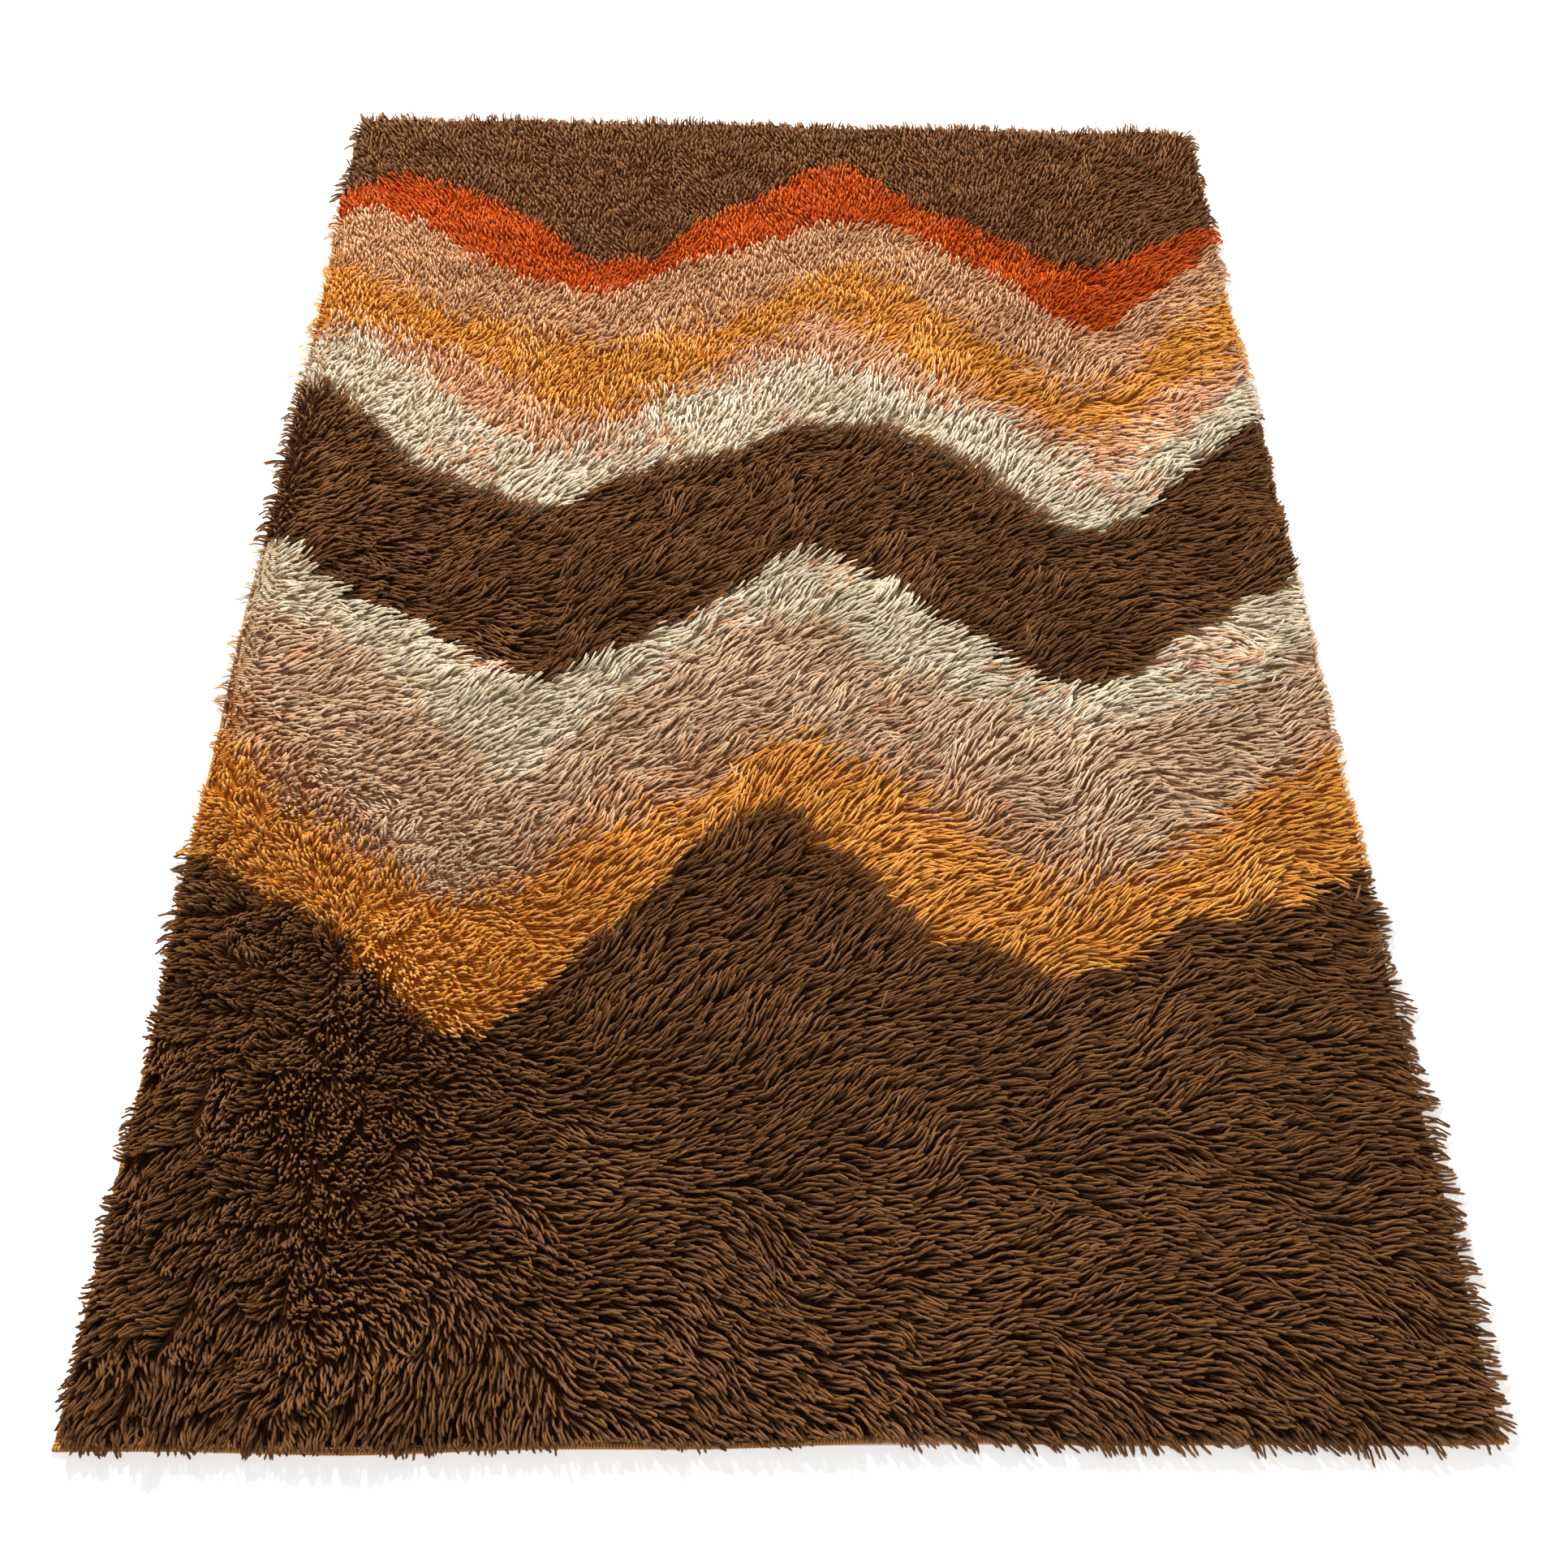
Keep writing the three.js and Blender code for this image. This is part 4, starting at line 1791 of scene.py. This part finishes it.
        # Painted shade: each wool's foot light dims the foot's colours, less and less towards the
        # far end.
        light = np.array([YARNS[w].foot_painted_light for w in Wool])[wool]
        light = light + (1 - light) * self.knotting.far_end.at(y)
        for name, shade in (("foot_painted_shade", "deep"), ("foot_lit", "warm")):
            colour = np.array([getattr(YARNS[w], shade) for w in Wool])[wool] * light[:, None]
            colour = np.concatenate([colour, np.ones((len(colour), 1))], axis=1)
            add_attribute(piece, name, "FLOAT_COLOR", np.concatenate([colour, colour[rim]]))
        nap = np.stack([*self.knotting.nap.lie(x, y), still], axis=1)
        add_attribute(piece, "nap", "FLOAT_VECTOR", np.concatenate([nap, nap[rim]]))

    def build(self) -> None:
        """Builds the foot and every piece of yarns."""
        self.build_foot()
        tree = self.build_tree()
        knots = self.knotting.knot()
        for number, wool in enumerate(Wool):
            material = self.materials.yarn(YARNS[wool])
            own = knots.wool == number
            groups = {f"pile_{wool.value}": own}
            if wool is Wool.BROWN:
                regions = self.brown_regions(knots).items()
                groups = {f"pile_brown_{region}": own & mask for region, mask in regions}
            for name, mask in groups.items():
                self.grow(name, knots.chosen(mask), tree, material, self.seed + number)

    def brown_regions(self, knots: Knots) -> dict[str, Array]:
        """Parts the brown ground into pieces that stay light.

        Args:
            knots: All the knots.

        Returns:
            A mask for each region's name.
        """
        x, y = knots.root[:, 0], knots.root[:, 1]
        near = y < self.near_line
        far = y > self.far_line
        return {
            "far": far,
            "middle": ~near & ~far,
            "near_left": near & (x < 0),
            "near_right": near & (x >= 0),
        }


@dataclass
class GroundCloth:
    """The woven ground, one flat sheet that ends just inside the overcast edges."""

    outline: Outline
    materials: Materials
    cell: float = 80 * MM
    thickness: float = 2.6 * MM
    yarn_pitch: float = 3.2 * MM
    light: Colour = from_srgb(190, 156, 108)
    # Painted shade for the hollows of the weave.
    dark: Colour = from_srgb(96, 70, 40)

    def build(self) -> None:
        """Builds the sheet and dresses it."""
        half_x = self.outline.half_width - self.outline.inside_edge
        half_y = self.outline.half_length - self.outline.inside_edge
        across = round(2 * half_x / self.cell)
        along = round(2 * half_y / self.cell)
        run_x = np.linspace(-half_x, half_x, across + 1)
        run_y = np.linspace(-half_y, half_y, along + 1)
        x, y = np.meshgrid(run_x, run_y)
        at_x, at_y = self.outline.wandered(x.ravel(), y.ravel())
        points = np.stack([at_x, at_y, np.full_like(at_x, self.thickness)], axis=1)
        piece = mesh_object("ground_sheet", points, [], grid_faces(across, along))
        wall = piece.modifiers.new("wall", "SOLIDIFY")
        wall.thickness = self.thickness
        wall.offset = -1.0
        graph = bpy.context.evaluated_depsgraph_get()
        made = bpy.data.meshes.new_from_object(piece.evaluated_get(graph), depsgraph=graph)
        piece.modifiers.remove(wall)
        piece.data = made
        weave = self.materials.weave("ground_weave", self.light, self.dark, self.yarn_pitch)
        piece.data.materials.append(weave)
        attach(piece, "root")
        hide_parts("ground_cloth")
        LOG.info("ground_sheet: %.3f by %.3f m", 2 * half_x, 2 * half_y)


@dataclass
class OvercastEdge:
    """The bound edges: a padded core with overcast stitches round it."""

    outline: Outline
    materials: Materials
    stitch_pitch: float = 3.6 * MM
    stitch_radius: float = 1.05 * MM
    slant: float = 1.6 * MM
    wrap: float = 1.9 * math.pi
    end_inset: float = 1.5 * MM
    path_step: float = 40 * MM
    stitch_sides: int = 3
    stitch_bends: int = 5
    core_sides: int = 10
    least_loop: float = 0.94
    thread_width: float = 1.5
    core_clearance: float = 1.1
    crest_light: float = 0.75
    end_shade: float = 0.55
    twists: float = 3.0
    seed: int = 7

    def build_tree(self) -> GeometryTree:
        """A core along a path, and a stitch looped over it at each pitch.

        Returns:
            The tree, with inputs for the sizes of the core and the stitches.
        """
        tree = GeometryTree("overcast_stitches")
        material = tree.takes("Material", "NodeSocketMaterial")
        width = tree.takes("Width", "NodeSocketFloat", self.outline.edge_width)
        height = tree.takes("Height", "NodeSocketFloat", self.outline.edge_height)
        pitch = tree.takes("Pitch", "NodeSocketFloat", self.stitch_pitch)
        thread = tree.takes("Thread Radius", "NodeSocketFloat", self.stitch_radius)
        slant = tree.takes("Slant", "NodeSocketFloat", self.slant)
        seed = tree.takes("Seed", "NodeSocketInt", self.seed)
        path = tree.feed(tree.node("GeometryNodeMeshToCurve"), Mesh=tree.geometry).outputs["Curve"]
        # The core carries no along or tone attribute, so its wool shows wholly in the painted shade
        # colour between the stitches.
        core = self.build_core(tree, path, width, height, thread)

        blank = tree.node("GeometryNodeMeshCone", fill_type="NGON")
        tree.feed(blank, Vertices=self.stitch_sides, Side_Segments=self.stitch_bends)
        tree.feed(blank, Radius_Top=1.0, Radius_Bottom=1.0, Depth=1.0)
        position = tree.node("GeometryNodeInputPosition").outputs[0]
        around, across, share = tree.parts(position)
        unrolled = blank.outputs["UV Map"]
        shape = tree.store(blank.outputs["Mesh"], "yarn_uv", "FLOAT2", "CORNER", unrolled)
        # Painted highlight and shade: each stitch is lighter on its crest and darker towards its
        # ends, where it turns under the core; the wool's shader reads this value as its place along
        # a yarn.
        from_crest = tree.math("ABSOLUTE", tree.math("MULTIPLY_ADD", share, 2.0, -1.0))
        along = tree.math("MULTIPLY_ADD", from_crest, -self.end_shade, self.crest_light)
        shape = tree.store(shape, "along", "FLOAT", "POINT", along)
        angle = tree.math("MULTIPLY_ADD", share, self.wrap, (math.pi - self.wrap) / 2)
        level, upward = tree.math("COSINE", angle), tree.math("SINE", angle)
        inward = tree.math("MULTIPLY", thread, -1.0)
        half_width = tree.math("MULTIPLY_ADD", width, 0.5, inward)
        half_height = tree.math("MULTIPLY_ADD", height, 0.5, inward)
        swell = tree.math("MULTIPLY", around, thread)
        loop_x = tree.math("MULTIPLY", level, tree.math("ADD", half_width, swell))
        loop_y = tree.math("MULTIPLY", upward, tree.math("ADD", half_height, swell))
        lead = tree.math("MULTIPLY", tree.math("SUBTRACT", share, 0.5), slant)
        broad = tree.math("MULTIPLY", thread, self.thread_width)
        loop_z = tree.math("MULTIPLY_ADD", across, broad, lead)
        looped = tree.node("GeometryNodeSetPosition")
        tree.feed(looped, Geometry=shape, Position=tree.together(loop_x, loop_y, loop_z))

        spots = tree.node("GeometryNodeCurveToPoints", mode="LENGTH")
        tree.feed(spots, Curve=path, Length=pitch)
        tone = tree.random(0.0, 1.0, seed)
        toned = tree.store(spots.outputs["Points"], "tone", "FLOAT", "POINT", tone)
        onward = tree.node("FunctionNodeAlignRotationToVector", axis="Z", pivot_axis="AUTO")
        tree.feed(onward, Vector=spots.outputs["Tangent"])
        upright = tree.node("FunctionNodeAlignRotationToVector", axis="Y", pivot_axis="Z")
        tree.feed(upright, Rotation=onward.outputs["Rotation"], Vector=(0.0, 0.0, 1.0))
        size = tree.random(self.least_loop, 1.0, tree.math("ADD", seed, 1.0))
        sewn = tree.node("GeometryNodeInstanceOnPoints")
        tree.feed(
            sewn,
            Points=toned,
            Instance=looped.outputs["Geometry"],
            Rotation=upright.outputs["Rotation"],
            Scale=tree.together(size, size, 1.0),
        )
        joined = tree.node("GeometryNodeJoinGeometry")
        tree.plug(joined.inputs[0], core)
        tree.plug(joined.inputs[0], sewn.outputs["Instances"])
        tree.finish(joined.outputs[0], material)
        return tree

    def build_core(
        self,
        tree: GeometryTree,
        path: Socket,
        width: Socket,
        height: Socket,
        thread: Socket,
    ) -> Socket:
        """The padded core of an edge, an oval bar along the path.

        Args:
            tree: The tree under construction.
            path: The path's curve.
            width: Width over the stitches.
            height: Height over the stitches.
            thread: Radius of the stitches' thread.

        Returns:
            The core's mesh.
        """
        flat = tree.feed(tree.node("GeometryNodeSetCurveNormal", mode="Z_UP"), Curve=path)
        oval = tree.node("GeometryNodeCurvePrimitiveCircle", mode="RADIUS")
        tree.feed(oval, Resolution=self.core_sides, Radius=1.0)
        inward = tree.math("MULTIPLY", thread, -self.core_clearance)
        half_width = tree.math("MULTIPLY_ADD", width, 0.5, inward)
        half_height = tree.math("MULTIPLY_ADD", height, 0.5, inward)
        scale = tree.together(half_width, half_height, 1.0)
        sized = tree.node("GeometryNodeTransform")
        profile = tree.feed(sized, Geometry=oval.outputs["Curve"], Scale=scale).outputs["Geometry"]
        bar = tree.node("GeometryNodeCurveToMesh")
        tree.feed(bar, Curve=flat.outputs["Curve"], Profile_Curve=profile, Fill_Caps=True)
        return bar.outputs["Mesh"]

    def path(self, side: Side) -> Array:
        """Points along the middle of one edge.

        Args:
            side: The edge.

        Returns:
            One row for each point.
        """
        outline = self.outline
        face_x, face_y = side.value
        half_bar = outline.edge_width / 2
        runs_across = face_x == 0
        reach = outline.half_width if runs_across else outline.half_length - outline.inside_edge
        inset = self.end_inset if runs_across else 0.0
        run = np.linspace(-reach + inset, reach - inset, round(2 * reach / self.path_step) + 1)
        if runs_across:
            line = np.full_like(run, face_y * (outline.half_length - half_bar))
            _, y = outline.wandered(run, line)
            x = run
        else:
            line = np.full_like(run, face_x * (outline.half_width - half_bar))
            x, _ = outline.wandered(line, run)
            y = run
        return np.stack([x, y, np.full_like(run, outline.edge_height / 2)], axis=1)

    def build(self) -> None:
        """Sews the four edges and dresses them."""
        tree = self.build_tree()
        material = self.materials.yarn(EDGE_YARN, self.twists)
        for number, side in enumerate(Side):
            points = self.path(side)
            edges = [(k, k + 1) for k in range(len(points) - 1)]
            piece = mesh_object(f"overcast_{side.label}", points, edges, [])
            values = {
                "Material": material,
                "Width": self.outline.edge_width,
                "Height": self.outline.edge_height,
                "Pitch": self.stitch_pitch,
                "Thread Radius": self.stitch_radius,
                "Slant": self.slant,
                "Seed": self.seed + number,
            }
            run_tree(piece, tree, values)
            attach(piece, "root")
            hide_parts(f"overcast_edge_{side.label}")
            LOG.info("overcast_%s: %d faces", side.label, len(piece.data.polygons))


@dataclass(frozen=True)
class SoftLight:
    """One square light that faces the rug: its place, the length of its side, watts and colour."""

    name: str
    at: tuple[float, float, float]
    size: float
    power: float
    colour: Colour


@dataclass
class Studio:
    """The pale floor, the soft lights and the camera at the photograph's place."""

    materials: Materials
    lights: tuple[SoftLight, ...] = (
        SoftLight("key", (-1.35, 3.5, 3.2), 0.8, 440.0, (1.0, 0.97, 0.93)),
        SoftLight("fill", (1.8, -2.6, 3.4), 3.0, 18.0, (1.0, 0.98, 0.95)),
    )
    sky_colour: Colour = (1.0, 0.985, 0.96)
    sky_strength: float = 0.45
    image_side: int = 1932
    focal_pixels: float = 1700.4
    sensor: float = 36.0
    eye: tuple[float, float, float] = (-0.0433, -1.2721, 1.684)
    pitch: float = 60.066
    yaw: float = 2.707
    roll: float = 2.701
    floor_half: float = 14.0
    floor_glow: float = 0.45
    covered_width: float = 1.592
    covered_length: float = 2.292

    def build_floor(self) -> None:
        """Lays the floor: a wide glowing surround, and a plain middle that the rug covers."""
        signs = np.array([(-1, -1, 0), (1, -1, 0), (1, 1, 0), (-1, 1, 0)], float)
        outer = signs * self.floor_half
        inner = signs * (self.covered_width / 2, self.covered_length / 2, 0)
        corners = len(signs)
        turns = [(k, (k + 1) % corners) for k in range(corners)]
        faces = [(a, b, corners + b, corners + a) for a, b in turns]
        faces.append(tuple(range(corners, 2 * corners)))
        floor = mesh_object("floor", np.concatenate([outer, inner]), [], faces)
        floor.data.materials.append(self.materials.floor("pale_floor", self.floor_glow))
        floor.data.materials.append(self.materials.floor("covered_floor", 0.0))
        floor.data.polygons[-1].material_index = 1

    def build_light(self, light: SoftLight) -> None:
        """Hangs one light and turns it towards the middle of the rug.

        Args:
            light: The light.
        """
        lamp = bpy.data.lights.new(light.name, "AREA")
        lamp.shape = "SQUARE"
        lamp.size = light.size
        lamp.energy = light.power
        lamp.color = light.colour
        held = bpy.data.objects.new(light.name, lamp)
        held.location = light.at
        held.rotation_mode = "QUATERNION"
        held.rotation_quaternion = (-Vector(light.at)).to_track_quat("-Z", "Y")
        bpy.context.scene.collection.objects.link(held)

    def build_camera(self) -> None:
        """Sets the camera where the photograph was taken from."""
        lens = bpy.data.cameras.new("camera")
        lens.sensor_width = self.sensor
        lens.lens = self.focal_pixels * self.sensor / self.image_side
        camera = bpy.data.objects.new("camera", lens)
        pitch, yaw, roll = (math.radians(a) for a in (self.pitch, self.yaw, self.roll))
        flat = math.cos(pitch)
        forward = Vector((math.sin(yaw) * flat, math.cos(yaw) * flat, -math.sin(pitch)))
        level = Vector((math.cos(yaw), -math.sin(yaw), 0))
        upright = level.cross(forward)
        right = math.cos(roll) * level + math.sin(roll) * upright
        up = math.cos(roll) * upright - math.sin(roll) * level
        turned = Matrix((right, up, -forward)).transposed().to_4x4()
        camera.matrix_world = Matrix.Translation(Vector(self.eye)) @ turned
        bpy.context.scene.collection.objects.link(camera)
        bpy.context.scene.camera = camera

    def build(self) -> None:
        """Builds the whole studio."""
        self.build_floor()
        for light in self.lights:
            self.build_light(light)
        world = bpy.data.worlds.new("studio")
        world.use_nodes = True
        sky = world.node_tree.nodes["Background"]
        sky.inputs["Color"].default_value = (*self.sky_colour, 1)
        sky.inputs["Strength"].default_value = self.sky_strength
        bpy.context.scene.world = world
        bpy.context.scene.view_settings.view_transform = "Standard"
        self.build_camera()
        LOG.info("studio: floor, two lights and the camera")


def main() -> None:
    """Builds the rug and its studio, in order."""
    logging.basicConfig(level=logging.INFO, format="%(name)s: %(message)s")
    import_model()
    outline = Outline()
    materials = Materials()
    GroundCloth(outline, materials).build()
    OvercastEdge(outline, materials).build()
    Pile(outline, Knotting(outline, FlameStitch(), Nap(outline)), materials).build()
    Studio(materials).build()


if __name__ == "__main__":
    main()
